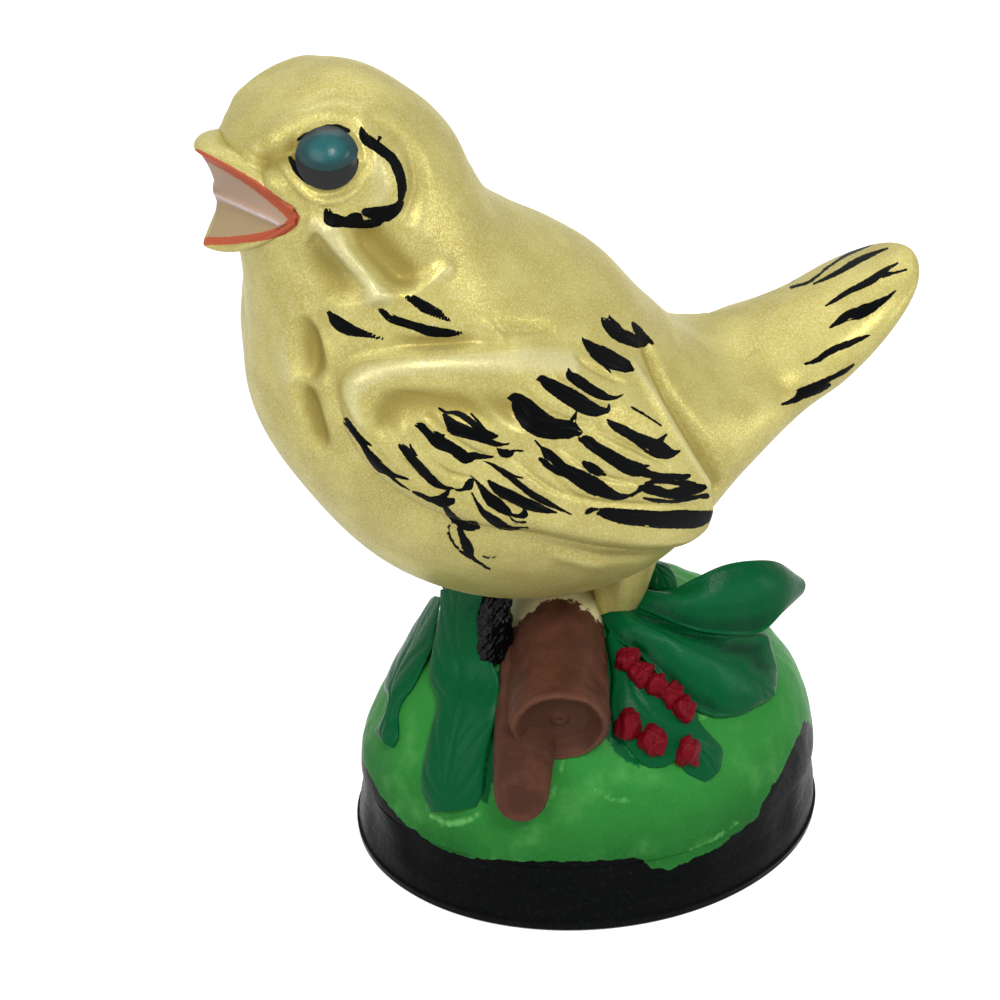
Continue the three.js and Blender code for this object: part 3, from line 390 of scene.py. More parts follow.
# Black brush strokes: x, y and half width in photograph pixels
WING_STROKES = [
    [(602, 319, 1.5), (607, 324, 5), (614, 331, 6.5), (622, 336, 6.5), (630, 339, 6.5), (637, 343, 5),
     (644, 345, 2)],
    [(609, 315, 0.5), (612, 322, 3), (618, 329, 4)],
    [(632, 322, 0.6), (636, 328, 3.5), (641, 335, 4.5), (645, 341, 4)],
    [(638, 329, 1.5), (645, 336, 2), (650, 341, 2.2), (653, 344, 1.2)],
    [(582, 338, 0.6), (586, 342.5, 3), (592, 348, 5.5), (600, 353.5, 8), (610, 359.5, 9),
     (619, 363.5, 7.5), (627, 367, 6), (632, 369.5, 2)],
    [(590, 354, 1), (598, 361, 1.2), (606, 367, 1.5), (611, 373, 0.5)],
    [(568.5, 369, 0.5), (570, 375, 4), (577, 380, 5.5), (585, 385.5, 5.5), (593, 390.5, 5),
     (601, 395, 4.5), (608, 397.5, 3), (616, 397.5, 1.5), (624, 394.5, 0.4)],
    [(537, 380, 0.8), (542, 379, 4), (549, 384.5, 6), (560, 391, 7.5), (572, 398, 8.5), (583, 405, 8),
     (594, 410, 6.5), (602, 411, 4), (608, 410, 2), (609, 404, 0.5)],
    [(508, 398, 1), (515, 398.5, 6), (522, 406, 10.5), (530, 416, 13), (541, 424.5, 12.5),
     (552, 428.5, 10.5), (562, 429, 9.5), (572, 430, 8.5), (578, 432, 4)],
    [(573, 420, 3), (576, 414, 1.2), (577, 411, 0.4)],
    [(608, 421, 1.5), (615, 426, 4), (624, 430.5, 5), (633, 436, 5), (642, 441, 6.5), (651, 446, 8),
     (660, 450, 8.5), (668, 452.5, 6.5), (675, 452.5, 2.5), (680, 450.5, 0.6)],
    [(660, 441, 3), (664, 437, 1.5), (667, 434, 0.5)],
    [(580, 439, 2), (587, 441, 5.5), (595, 447, 5.5), (604, 452.5, 6), (613, 458, 6.5), (622, 464, 7),
     (630, 467.5, 7.5), (638, 470, 6.5), (646, 473, 4), (655, 475.5, 3.5), (664, 476.5, 3),
     (674, 477, 3.5), (682, 477.5, 3.5), (689, 476, 1.5)],
    [(636, 465, 3), (643, 466, 2), (649, 465.5, 0.5)],
    [(632, 496, 0.8), (637, 492, 1.5), (641, 489, 2.5)],
    [(641, 488, 2.5), (648, 488.5, 5), (657, 491, 5), (668, 494, 4.5), (680, 493, 6), (690, 490, 5.5),
     (700, 488, 4), (705, 487, 2)],
    [(646, 483, 1.5), (656, 481.5, 2), (668, 482, 1.5), (680, 483, 3), (690, 484, 3), (699, 487, 2.5)],
    [(644, 498, 0.6), (655, 500.5, 2), (668, 501.5, 1.5), (680, 501, 1.5), (690, 498.5, 2),
     (700, 496.5, 2), (707, 496, 2.5)],
    [(535, 440.5, 0.5), (541, 447, 1.3), (548, 454, 5), (555, 462, 6.5), (563, 469, 6), (573, 474, 7),
     (584, 480.5, 8.5), (595, 486.5, 8.5), (606, 492, 6.5), (617, 496.5, 3.8), (628, 496, 1.5),
     (637, 491.5, 1.2)],
    [(540, 459, 1.5), (547, 464, 3.5), (556, 471, 3), (566, 476, 1.5)],
    [(584, 463, 2), (590, 467, 4.5), (597, 471, 4.5), (604, 474, 2)],
    [(586, 513, 1.5), (590, 510.5, 2.5), (599, 508.5, 1)],
    [(598, 514, 1.5), (604, 513, 5), (620, 516, 7), (640, 518, 8), (660, 519.5, 8.5), (680, 519.5, 9),
     (697, 519, 8.5), (706, 516, 6), (712, 512.5, 2)],
    [(489, 481, 1.5), (494, 486.5, 4), (502, 492, 5.5), (512, 497, 5.5), (524, 502.5, 5.5),
     (535, 506.5, 5), (545, 510, 3), (556, 512.5, 0.8)],
    [(484, 461, 0.4), (492, 465, 1.2), (500, 470, 2), (510, 477, 2.5), (520, 485, 3), (530, 493, 3.2),
     (540, 499, 3.5), (548, 503, 3), (558, 508, 1.6), (572, 514.5, 0.5)],
    [(485, 461, 0.4), (495, 466, 1.2), (504, 471, 1.8), (513, 475.5, 1.5), (523, 478, 0.6)],
    [(471, 476, 0.6), (477, 482, 1.3), (483, 490, 3.2), (488, 497, 5), (494, 502, 6), (501, 507, 5.5),
     (507, 511.5, 4), (513, 515, 1.5), (519, 516, 1.8), (524, 514, 4), (524, 509.5, 0.6)],
    [(472, 493, 0.8), (477, 503, 1.3), (483, 512, 3), (492, 519, 4.5), (502, 525, 4), (512, 528.3, 2),
     (528, 527.5, 0.6)],
    [(510, 517, 0.6), (516, 522, 1), (525, 522, 1)],
    [(444, 415, 1.5), (449, 421, 4.5), (455, 428, 7), (463, 431, 6.5), (472, 434, 5.5), (481, 438, 4),
     (490, 442, 3), (500, 444.5, 2), (509, 443.5, 0.6)],
    [(439, 408, 0.6), (446, 412, 1.3), (455, 412.5, 2), (463, 416, 3), (470, 421, 3), (477, 427, 3.5),
     (484, 433, 4), (492, 436, 3.5), (497, 436, 1)],
    [(471, 413.5, 0.5), (477, 420, 1.2), (484, 429, 1.5)],
    [(498, 449, 1.2), (503, 453, 4), (510, 453.5, 3.5), (514, 451, 1), (523, 451, 0.6)],
    [(417, 425, 2), (422, 427, 4), (428, 433.5, 3.5), (435, 440.5, 5.5), (443, 444, 6.5),
     (452, 448.5, 5.5), (460, 454, 6), (467, 458, 5.5), (475, 456, 3.5), (485, 456.7, 2),
     (493, 456.5, 0.6)],
    [(435, 432, 0.8), (440, 436, 2.5), (444, 435, 0.8)],
    [(401, 446, 2.5), (407, 452, 4), (414, 461, 4.5), (422, 470, 4.5), (430, 478, 4.5), (437, 484, 3.5),
     (444, 487.5, 2), (452, 488.3, 1), (458, 490, 0.9), (463, 489, 1.5), (468, 486, 4.5),
     (471, 481.5, 3)],
    [(410, 444.5, 0.6), (412, 449, 1), (417, 456, 0.6)],
    [(346, 421, 3), (353, 430, 3), (361, 441, 3), (367, 451, 3), (373, 459, 4.5), (381, 468, 4.5),
     (388, 472, 3), (395, 475.5, 1.8), (408, 479, 0.8)],
    [(357, 434, 2), (363, 440, 2), (371, 445.5, 0.8)],
    [(386, 472, 2), (397, 482, 1.1), (409, 490, 0.6)],
    [(413, 492, 0.7), (421, 495, 2), (428, 499, 2.5), (434, 500, 3.5), (440, 501, 5.5), (446, 502, 5),
     (452, 501, 3)],
    [(449, 490, 0.8), (446, 494, 2.5), (442, 498, 3.5)],
    [(445, 507, 2.2), (449, 513, 2.8), (455, 519.5, 3), (462, 524, 3.5), (469, 526, 5), (475, 526, 4.5),
     (479, 528.5, 1.5)],
    [(458, 523, 1.2), (460, 530, 2.5), (463, 538, 3.5), (467, 546, 5), (470, 551, 4), (472, 557, 2),
     (479, 563, 1.3), (491, 570, 0.6)],
    [(450, 524, 0.6), (448, 530, 1), (450, 537, 1), (455, 545, 0.9), (462, 553, 0.9), (470, 558, 1.2)],
    [(482, 556, 0.6), (488, 557.5, 1), (498, 556, 0.5)],
    [(632, 407.5, 0.9), (645, 415, 0.9), (653, 420, 0.8), (661, 425.5, 0.5)],
]
COLLAR_STROKES = [
    [(329, 313, 2), (337, 322, 6), (348, 329, 6), (365, 334, 3), (384, 339, 1)],
    [(380, 310, 2), (392, 319, 4), (411, 325, 4), (430, 331, 5), (446, 333, 4), (464, 333, 1)],
    [(407, 297, 2), (424, 310, 2.5), (449, 320, 2)],
    [(414, 297, 2), (426, 305, 3), (440, 313, 3)],
]
CHEEK_STROKES = [
    [(361, 127, 1), (365, 138, 5), (379, 148, 5), (392, 159, 5), (400, 175, 5), (402, 190, 4),
     (400, 203, 2)],
    [(377, 143, 1), (380, 137, 1)],
    [(327, 211, 3), (331, 219, 7), (344, 222, 5), (356, 224, 4), (376, 223, 4), (382, 217, 3)],
    [(350, 217, 3), (358, 216, 3), (362, 222, 2)],
    [(366, 212, 4), (383, 214, 8), (394, 210, 6), (401, 203, 3)],
]
EYELID_STROKES = [
    [(290, 158, 1.5), (298, 170, 4), (310, 178, 6), (326, 180, 8), (342, 176, 7), (353, 167, 4.5),
     (357, 160, 1.5)],
    [(317, 131, 1.5), (325, 128, 2.5), (337, 127, 2.5), (348, 131, 2)],
    [(298, 140, 1), (305, 135, 2), (313, 132, 1)],
]
TAIL_STROKES = [
    [(791, 287.5, 1.2), (810, 281, 1), (827.5, 267.5, 1), (845, 256, 1.2), (860, 249, 1.5),
     (872.5, 244, 1)],
    [(792, 281, 0.7), (805, 271, 0.8), (820, 261, 0.8), (835, 252, 0.7)],
    [(814, 284, 0.6), (827.5, 277.5, 1.5), (840, 271, 2.5), (857.5, 261, 3), (872.5, 254, 2.2),
     (887, 248, 0.6)],
    [(826, 306, 0.6), (835, 300, 2), (850, 291, 2.5), (867.5, 282.5, 3.5), (880, 274, 3), (887, 269, 2),
     (897.5, 263, 0.6)],
    [(882.5, 275, 2.5), (892.5, 273, 1.5), (906, 269.5, 0.6)],
    [(830.5, 327.5, 1), (837.5, 322.5, 2.5), (847.5, 316, 4.5), (860, 312.5, 6), (875, 305, 4.5),
     (887.5, 297.5, 2), (895.5, 291, 0.6)],
    [(805, 364, 0.6), (817.5, 360, 2.5), (827.5, 352.5, 3), (842.5, 346, 3), (857.5, 340, 2.5),
     (870, 335, 0.8)],
    [(782.5, 404.5, 1), (795, 399.5, 3), (805, 392.5, 5.5), (817.5, 389, 4.5), (829, 385, 2)],
    [(797.5, 390, 1), (815, 385, 2.5), (832.5, 377.5, 2.2), (845, 371, 2), (854, 364, 0.6)],
]
LIP_STROKES = [
    [(196, 152, 3), (212, 160, 3.5), (232, 171, 3.5), (252, 183, 4), (272, 198, 4.5), (288, 211, 5.5),
     (294, 218, 5.5)],
    [(204, 241, 4), (222, 241, 3.5), (245, 239, 3.5), (265, 236, 4), (283, 230, 4.5), (293, 222, 5)],
]
TONGUE_LINE = [(214, 195, 5), (232, 203, 5), (252, 212, 5), (270, 220, 5), (282, 226, 4)]

# Painted shadow in dark green beside the leaves and painted highlights in pale green on the mound, as x, y
# and half width in pixels
LEAF_SHADOW_STROKES = [
    [(611, 618, 6), (612, 670, 7), (615, 720, 7), (622, 748, 6)],
    [(503, 672, 5), (497, 720, 6), (490, 770, 6), (484, 800, 4)],
    [(436, 620, 6), (442, 660, 6), (444, 690, 5)],
    [(606, 730, 5), (618, 748, 5), (640, 764, 4)],
    [(660, 735, 5), (690, 735, 5), (715, 745, 4)],
]
MOUND_HIGHLIGHT_STROKES = [
    [(430, 815, 2.5), (446, 823, 4), (466, 821, 4), (482, 810, 2.5)],
    [(563, 762, 1.5), (556, 785, 2.5), (546, 806, 2)],
    [(700, 716, 3), (722, 712, 4), (745, 702, 2.5)],
    [(596, 790, 2), (612, 800, 3), (628, 800, 2)],
    [(690, 850, 1.5), (715, 838, 2), (738, 822, 1.5)],
]
# Lower edge of the cream slip over the log's top, in photograph pixels
SLIP_EDGE = [(512, 632), (519, 624), (530, 613), (542, 604), (557, 600), (572, 602), (585, 611),
             (597, 620), (604, 632)]

# Edge between the green and the black paint, in photograph pixels
PAINT_EDGE = [(350, 715), (356, 748), (380, 795), (405, 825), (440, 848), (470, 858), (540, 862),
              (590, 861), (640, 858), (652, 868), (672, 869), (692, 860), (720, 846), (757, 818),
              (765, 800), (785, 765), (803, 725), (808, 700)]


# Camera and pixels

def view_axes():
    """Right, up and back of the view as unit vectors, from its bearing and its height above the horizon."""
    bearing, height = np.radians([VIEW_BEARING, VIEW_HEIGHT])
    back = np.array([np.sin(bearing) * np.cos(height), -np.cos(bearing) * np.cos(height), np.sin(height)])
    right = np.array([np.cos(bearing), np.sin(bearing), 0.0])
    return right, np.cross(back, right), back


VIEW_RIGHT, VIEW_UP, VIEW_BACK = view_axes()
VIEW_AIM = np.array([0.0, 0.0, AIM_HEIGHT]) + AIM_SIDEWAYS * VIEW_RIGHT
VIEW_POINT = VIEW_AIM + VIEW_DISTANCE * VIEW_BACK


def photo_pixels(points):
    """Where points fall in the photograph: their sideways and upwards shares of the depth, times the
    focal length."""
    sight = points - VIEW_POINT
    depth = -(sight @ VIEW_BACK)
    across = FOCAL_PIXELS * (sight @ VIEW_RIGHT) / depth
    down = -FOCAL_PIXELS * (sight @ VIEW_UP) / depth
    return np.stack([across, down], axis=-1) + PHOTO_SIZE / 2


def set_camera():
    """A pinhole at the view point whose field is the photograph's size over its focal length."""
    camera_data = bpy.data.cameras.new("photo_camera")
    camera_data.sensor_width = SENSOR_WIDTH
    camera_data.lens = SENSOR_WIDTH * FOCAL_PIXELS / PHOTO_SIZE
    camera_data.clip_end = CLIP_FAR
    camera = bpy.data.objects.new("photo_camera", camera_data)
    bpy.context.scene.collection.objects.link(camera)
    turn = Matrix(np.stack([VIEW_RIGHT, VIEW_UP, VIEW_BACK], axis=1).tolist()).to_4x4()
    place = Matrix.Translation(((VIEW_POINT + BASE_SHIFT) * METRES).tolist())
    camera.matrix_world = place @ turn
    bpy.context.scene.camera = camera


# Curves

TINY = 1e-12
UP = np.array([0.0, 0.0, 1.0])
BACK = np.array([1.0, 0.0, 0.0])


def smoothstep(value, low, high):
    """0 below low, 1 above high, and 3t^2 - 2t^3 between."""
    share = np.clip((value - low) / (high - low), 0.0, 1.0)
    return share * share * (3 - 2 * share)


def spline_at(points, share, held=False):
    """A Catmull-Rom curve at shares 0 to 1 of its points: each stretch is the cubic of its two ends
    with half the neighbours' difference as slope. Past the ends the points go straight on, or are held."""
    spots = np.asarray(points, float)
    before = spots[0] if held else 2 * spots[0] - spots[1]
    after = spots[-1] if held else 2 * spots[-1] - spots[-2]
    row = np.vstack([before, spots, after])
    place = np.clip(share, 0.0, 1.0) * (len(spots) - 1)
    at = np.minimum(place.astype(int), len(spots) - 2)
    t = (place - at)[..., None]
    p0, p1, p2, p3 = (row[at + k] for k in range(4))
    slope1 = (p2 - p0) / 2
    slope2 = (p3 - p1) / 2
    return ((2 * p1 - 2 * p2 + slope1 + slope2) * t ** 3
            + (3 * p2 - 3 * p1 - 2 * slope1 - slope2) * t ** 2 + slope1 * t + p1)


RELIEF_STEPS = 4
STROKE_STEPS = 6


def fine_line(points, steps=STROKE_STEPS):
    """The Catmull-Rom curve through the points as a polyline of several steps a stretch."""
    return spline_at(points, np.linspace(0, 1, steps * (len(points) - 1) + 1))


def nearest_on_line(pixels, line):
    """For each pixel its distance to a polyline, the place along it and the signed distance across it:
    the least over the stretches of the distance to the pixel's foot on the stretch."""
    nearest = np.full(len(pixels), np.inf)
    place = np.zeros(len(pixels))
    across = np.zeros(len(pixels))
    for number, (start, stretch) in enumerate(zip(line[:-1], np.diff(line, axis=0))):
        length = np.hypot(*stretch) + TINY
        share = np.clip(((pixels - start) @ stretch) / length ** 2, 0, 1)
        offset = pixels - start - share[:, None] * stretch
        gap = np.hypot(offset[:, 0], offset[:, 1])
        closer = gap < nearest
        nearest = np.where(closer, gap, nearest)
        place = np.where(closer, number + share, place)
        side = (stretch[0] * offset[:, 1] - stretch[1] * offset[:, 0]) / length
        across = np.where(closer, side, across)
    return nearest, place, across


def full_turn(count):
    """Even angles once round, without the last, which is the first again."""
    return np.linspace(0, 2 * np.pi, count, endpoint=False)


def unit(vectors):
    """Vectors brought to length 1."""
    return vectors / (np.linalg.norm(vectors, axis=-1, keepdims=True) + TINY)


def profile_line(profile, count):
    """A profile's corners joined straight, at even steps of the corners' numbers."""
    corners = np.array(profile, float)
    place = np.linspace(0, len(corners) - 1, count)
    return np.stack([np.interp(place, np.arange(len(corners)), column) for column in corners.T], axis=1)


# Meshes

def grid_faces(rows, sides, joined):
    """Quads between neighbouring rows of a grid that closes round its sides, and round its rows if
    joined."""
    row = np.arange(rows if joined else rows - 1)[:, None]
    side = np.arange(sides)[None, :]
    next_row = (row + 1) % rows
    next_side = (side + 1) % sides
    near, far = row * sides, next_row * sides
    corners = [near + side, near + next_side, far + next_side, far + side]
    return np.stack(corners, axis=-1).reshape(-1, 4)


def tip_faces(ring_start, sides, tip):
    """Triangles from one ring of the grid to its tip."""
    side = np.arange(sides)
    return np.stack([np.full(sides, tip), ring_start + (side + 1) % sides, ring_start + side], axis=-1)


def enclosed_volume(points, triangles):
    """Sum of the signed tetrahedra between the origin and each triangle."""
    a, b, c = (points[triangles[:, k]] for k in range(3))
    return np.einsum("ij,ij->i", a, np.cross(b, c)).sum() / 6


CAST = "_cast"
SHARP_ANGLE = 50.0


def skin(name, rings, start_tip=None, end_tip=None):
    """A closed surface over a grid of rings (rows, sides, 3): each ring is joined to the next one,
    the end rings to their tips, and without tips the last ring to the first. Faces are turned outwards,
    and points are held inside the solids' box."""
    rows, sides = rings.shape[:2]
    points = rings.reshape(-1, 3)
    quads = grid_faces(rows, sides, joined=start_tip is None)
    tips = np.empty((0, 3), int)
    if start_tip is not None:
        points = np.vstack([points, start_tip, end_tip])
        first = tip_faces(0, sides, rows * sides)
        last = tip_faces((rows - 1) * sides, sides, rows * sides + 1)[:, ::-1]
        tips = np.vstack([first, last])
    triangles = np.vstack([quads[:, [0, 1, 2]], quads[:, [0, 2, 3]], tips])
    if enclosed_volume(points, triangles) < 0:
        quads = quads[:, ::-1]
        tips = tips[:, ::-1]
    points = np.clip(points, BOX_LOW, BOX_HIGH)
    mesh = bpy.data.meshes.new(name + CAST)
    mesh.from_pydata(((points + BASE_SHIFT) * METRES).tolist(), [], quads.tolist() + tips.tolist())
    mesh.shade_smooth()
    mesh.set_sharp_from_angle(angle=np.radians(SHARP_ANGLE))
    piece = bpy.data.objects.new(name + CAST, mesh)
    bpy.context.scene.collection.objects.link(piece)
    return piece


def capped(name, rings):
    """A closed surface over rings, whose ends close on the middles of the end rings."""
    return skin(name, rings, rings[0].mean(axis=0), rings[-1].mean(axis=0))


def piece_points(piece):
    """A piece's points, in millimetres from the middle of the plinth."""
    flat = np.empty(3 * len(piece.data.vertices))
    piece.data.vertices.foreach_get("co", flat)
    return flat.reshape(-1, 3) / METRES - BASE_SHIFT


def piece_normals(piece):
    """Outward unit vector at each point of a piece."""
    flat = np.empty(3 * len(piece.data.vertices))
    piece.data.vertices.foreach_get("normal", flat)
    return flat.reshape(-1, 3)


def store(piece, name, values):
    """Keeps one number, or one triple, for each point of a piece, for its finish to read."""
    if values.ndim == 1:
        attribute = piece.data.attributes.new(name, "FLOAT", "POINT")
        attribute.data.foreach_set("value", values.astype(np.float32))
    else:
        attribute = piece.data.attributes.new(name, "FLOAT_VECTOR", "POINT")
        attribute.data.foreach_set("vector", values.astype(np.float32).ravel())


def store_relief(piece, relief):
    """Keeps the relief of a grid's points, with none at its two tips."""
    store(piece, "relief", np.append(relief.ravel(), [0.0, 0.0]))


def ring_normals(rings):
    """Unit vectors square to a grid: the cross product of its differences along the rows and round the
    sides."""
    along = np.gradient(rings, axis=0)
    around = (np.roll(rings, -1, axis=1) - np.roll(rings, 1, axis=1)) / 2
    return unit(np.cross(around, along))


def sheet_normals(sheet):
    """Unit vectors square to an open grid."""
    return unit(np.cross(np.gradient(sheet, axis=1), np.gradient(sheet, axis=0)))


# Paint laid on by pixel

OUT_OF_VIEW = -1000.0
MIRROR = np.array([1, -1, 1])
TWIN_ROUNDING = 0.6
SQUARE_ON = 0.15


def left_twin(points):
    """Points brought over to the bird's left side, rounded off where they cross its middle."""
    twin = points.copy()
    twin[..., 1] = -np.sqrt(points[..., 1] ** 2 + TWIN_ROUNDING)
    return twin


def facing_view(points, normals):
    """Whether each point's outward vector leans towards the view point."""
    return np.einsum("ij,ij->i", normals, VIEW_POINT - points) > 0


def paint_pixels(piece):
    """The pixel that each point takes its paint from: its own where it faces the view, else its left twin's
    where that does, else one far outside the photograph."""
    points = piece_points(piece)
    normals = piece_normals(piece)
    twins = left_twin(points)
    twin_normals = np.where(points[:, 1:2] > 0, normals * MIRROR, normals)
    pixels = np.full((len(points), 2), OUT_OF_VIEW)
    twin_seen = facing_view(twins, twin_normals)
    pixels[twin_seen] = photo_pixels(twins[twin_seen])
    seen = facing_view(points, normals)
    pixels[seen] = photo_pixels(points[seen])
    return pixels


def seen_pixels(piece):
    """The pixel of each point that faces the view, and one far outside the photograph for the others."""
    points = piece_points(piece)
    seen = facing_view(points, piece_normals(piece))
    return np.where(seen[:, None], photo_pixels(points), OUT_OF_VIEW)


BRUSH_REACH = 14.0
BRUSH_SPREAD = 0.35
STROKE_OFFSET = 57.0


def brush_field(pixels, strokes):
    """Along, across, inside and end of the nearest stroke, in millimetres: inside is the stroke's half
    width at the nearest place less the distance to its line, end the way along the line to its nearer
    end. Each stroke's lengths are counted from its own offset."""
    field = np.zeros((len(pixels), 4))
    field[:, 2] = -BRUSH_REACH
    for number, stroke in enumerate(strokes):
        line = fine_line(stroke)
        low = line[:, :2].min(axis=0) - BRUSH_REACH
        high = line[:, :2].max(axis=0) + BRUSH_REACH
        near = np.flatnonzero(np.all((pixels > low) & (pixels < high), axis=1))
        gap, place, across = nearest_on_line(pixels[near], line[:, :2])
        inside = np.interp(place, np.arange(len(line)), line[:, 2]) + BRUSH_SPREAD - gap
        better = inside > field[near, 2]
        steps = np.hypot(*np.diff(line[:, :2], axis=0).T)
        along = np.interp(place, np.arange(len(line)), np.concatenate([[0], np.cumsum(steps)]))
        end = np.minimum(along, steps.sum() - along)
        found = np.stack([along + STROKE_OFFSET * number, across, inside, end], axis=1)
        field[near[better]] = found[better]
    return field / PIXELS_PER_MM


def brush_inside(pixels, strokes):
    """How far inside the nearest stroke each pixel is, in millimetres."""
    return brush_field(pixels, strokes)[:, 2]


def store_brush(piece, field):
    """Keeps a brush field as one triple and one number."""
    store(piece, "brush", field[:, :3])
    store(piece, "brush_end", field[:, 3])


def line_distance(points, line):
    """Least distance from each point to the stretches of a line, in the plane or in space."""
    nearest = np.full(len(points), np.inf)
    for start, stretch in zip(line[:-1], np.diff(line, axis=0)):
        share = np.clip((points - start) @ stretch / (stretch @ stretch + TINY), 0, 1)
        offset = points - start - share[:, None] * stretch
        nearest = np.minimum(nearest, np.einsum("ij,ij->i", offset, offset))
    return np.sqrt(nearest)


def near_line(points, line, half_width):
    """Numbers of the points that are within three half widths of a line's box."""
    margin = 3 * half_width
    inside = (points > line.min(axis=0) - margin) & (points < line.max(axis=0) + margin)
    return np.flatnonzero(np.all(inside, axis=1))


def raised(points, rise, half_width, line):
    """Height of one ridge or hollow of the sides: its rise times exp(-(distance / half width)^2)."""
    near = near_line(points, line, half_width)
    height = np.zeros(len(points))
    height[near] = rise * np.exp(-(line_distance(points[near], line) / half_width) ** 2)
    return height


def side_relief(points):
    """Height of the main ridges and hollows at places on the bird's smooth skin, alike on both sides."""
    spots = (points - PERCH).reshape(-1, 3)
    spots[:, 1] = np.abs(spots[:, 1])
    total = np.zeros(len(spots))
    for rise, half_width, line in SIDE_RELIEF.values():
        course = fine_line(line, RELIEF_STEPS)
        laid = np.column_stack([course[:, 0], side_of(course[:, 0], course[:, 1]), course[:, 1]])
        total += raised(spots, rise, half_width, laid)
    return total.reshape(points.shape[:-1])


def drawn(pixels, rise, half_width, line, spindle=True):
    """Height of one finer ridge or hollow: as for the sides, times the root of the sine of the share
    along it, so that it runs out at both ends, or keeping its height to its ends."""
    near = near_line(pixels, line, half_width)
    gap, place, across = nearest_on_line(pixels[near], line)
    fade = np.sqrt(np.sin(np.pi * place / (len(line) - 1))) if spindle else 1.0
    height = np.zeros(len(pixels))
    height[near] = rise * fade * np.exp(-(gap / half_width) ** 2)
    return height


def twin_view(points, normals):
    """The pixels of the points' left twins, and how squarely the twins face the view, from 0 to 1."""
    twins = left_twin(points).reshape(-1, 3)
    turned = normals.reshape(-1, 3) * np.where(points.reshape(-1, 3)[:, 1:2] > 0, MIRROR, 1)
    sight = VIEW_POINT - twins
    facing = np.einsum("ij,ij->i", turned, sight) / np.linalg.norm(sight, axis=1)
    return photo_pixels(twins), smoothstep(facing, 0.0, SQUARE_ON)


def fine_relief(points, normals, feathers=False):
    """Height of the finer modelling where the left twin faces the view: the drawn ridges and hollows,
    and the grooves beside the feathers."""
    pixels, facing = twin_view(points, normals)
    total = drawn(pixels, *SOCKET[:2], fine_line(SOCKET[2], RELIEF_STEPS), spindle=False)
    for rise, half_width, line in FINE_RELIEF.values():
        total += drawn(pixels, rise, half_width, fine_line(line, RELIEF_STEPS))
    if feathers:
        for line in FEATHER_GROOVES:
            total += drawn(pixels, *FEATHER_GROOVE, fine_line(line, RELIEF_STEPS))
    return (total * facing).reshape(points.shape[:-1])


def gape_depth(points, normals):
    """Depth of the mouth's opening in the head, behind the lining."""
    pixels, facing = twin_view(points, normals)
    total = np.zeros(len(pixels))
    for rise, half_width, line in GAPE:
        total += drawn(pixels, rise, half_width, fine_line(line, RELIEF_STEPS), spindle=False)
    return (total * facing).reshape(points.shape[:-1])


# Bird body and tail

def rounded_turn(angle):
    """Turn 0 to pi whose cosine runs evenly along the fan, so that both ends come out round."""
    return np.arccos(np.clip(1 - 2 * (angle - FAN_START) / FAN_SPAN, -1, 1))


SECTION_TURNS = rounded_turn(BIRD_SECTIONS[:, FAN_ANGLE])


def section_value(column, turn):
    """Cubic through one column of the sections, with the slope at each section that of the parabola
    through it and its neighbours."""
    values = BIRD_SECTIONS[:, column]
    slopes = np.gradient(values, SECTION_TURNS)
    at = np.clip(np.searchsorted(SECTION_TURNS, turn) - 1, 0, len(values) - 2)
    span = SECTION_TURNS[at + 1] - SECTION_TURNS[at]
    t = (turn - SECTION_TURNS[at]) / span
    leave = slopes[at] * span
    arrive = slopes[at + 1] * span
    return (values[at] * (1 + 2 * t) * (1 - t) ** 2 + leave * t * (1 - t) ** 2
            + values[at + 1] * t * t * (3 - 2 * t) + arrive * t * t * (t - 1))


def bird_section(turn):
    """Middle radius, half depth and half width of the oval section at a turn."""
    back = section_value(BACK_RADIUS, turn)
    belly = section_value(BELLY_RADIUS, turn)
    width = np.maximum(section_value(HALF_WIDTH, turn), 0)
    return (back + belly) / 2, np.maximum((belly - back) / 2, 0), width


def bird_point(turn, around):
    """Fan angle from the turn; radius = middle + depth cos(around), sideways = width sin(around)."""
    middle, depth, width = bird_section(turn)
    angle = np.radians(FAN_START + FAN_SPAN * (1 - np.cos(turn)) / 2)
    radius = middle + depth * np.cos(around)
    sideways = width * np.sin(around)
    return np.stack([
        PERCH[0] + FAN_X + radius * np.cos(angle),
        PERCH[1] + sideways,
        PERCH[2] + FAN_Z + radius * np.sin(angle),
    ], axis=-1)


JOINT_TURN = rounded_turn(TAIL_JOINT)
FIRST_TURN = 0.01


def bird_rings(turns, sides):
    """Ovals of the bird at each turn, moved out along their normals by the modelled relief, and that
    relief."""
    rings = bird_point(turns[:, None], full_turn(sides)[None, :])
    normals = ring_normals(rings)
    middle = len(rings) // 2
    outward = rings[middle] - rings[middle].mean(axis=0)
    if np.sum(outward * normals[middle]) < 0:
        normals = -normals
    relief = side_relief(rings) + fine_relief(rings, normals)
    height = relief + gape_depth(rings, normals)
    return rings + height[..., None] * normals, relief


def bird_body():
    """The body from the forehead to the tail joint, with more rings to the millimetre on the head."""
    rows, sides = BODY_GRID
    stops = [FIRST_TURN, rounded_turn(DENSE_TO), JOINT_TURN]
    turns = np.interp(np.linspace(0, 1, rows), [0, DENSE_SHARE, 1], stops)
    rings, relief = bird_rings(turns, sides)
    piece = skin("bird_body", rings, bird_point(0.0, 0.0), rings[-1].mean(axis=0))
    store_relief(piece, relief)
    return piece


def tail():
    """The upswept tail from the joint to its rounded end."""
    rows, sides = TAIL_GRID
    turns = np.linspace(JOINT_TURN, np.pi - FIRST_TURN, rows)
    rings, relief = bird_rings(turns, sides)
    piece = skin("tail", rings, rings[0].mean(axis=0), bird_point(np.pi, 0.0))
    store_relief(piece, relief)
    return piece


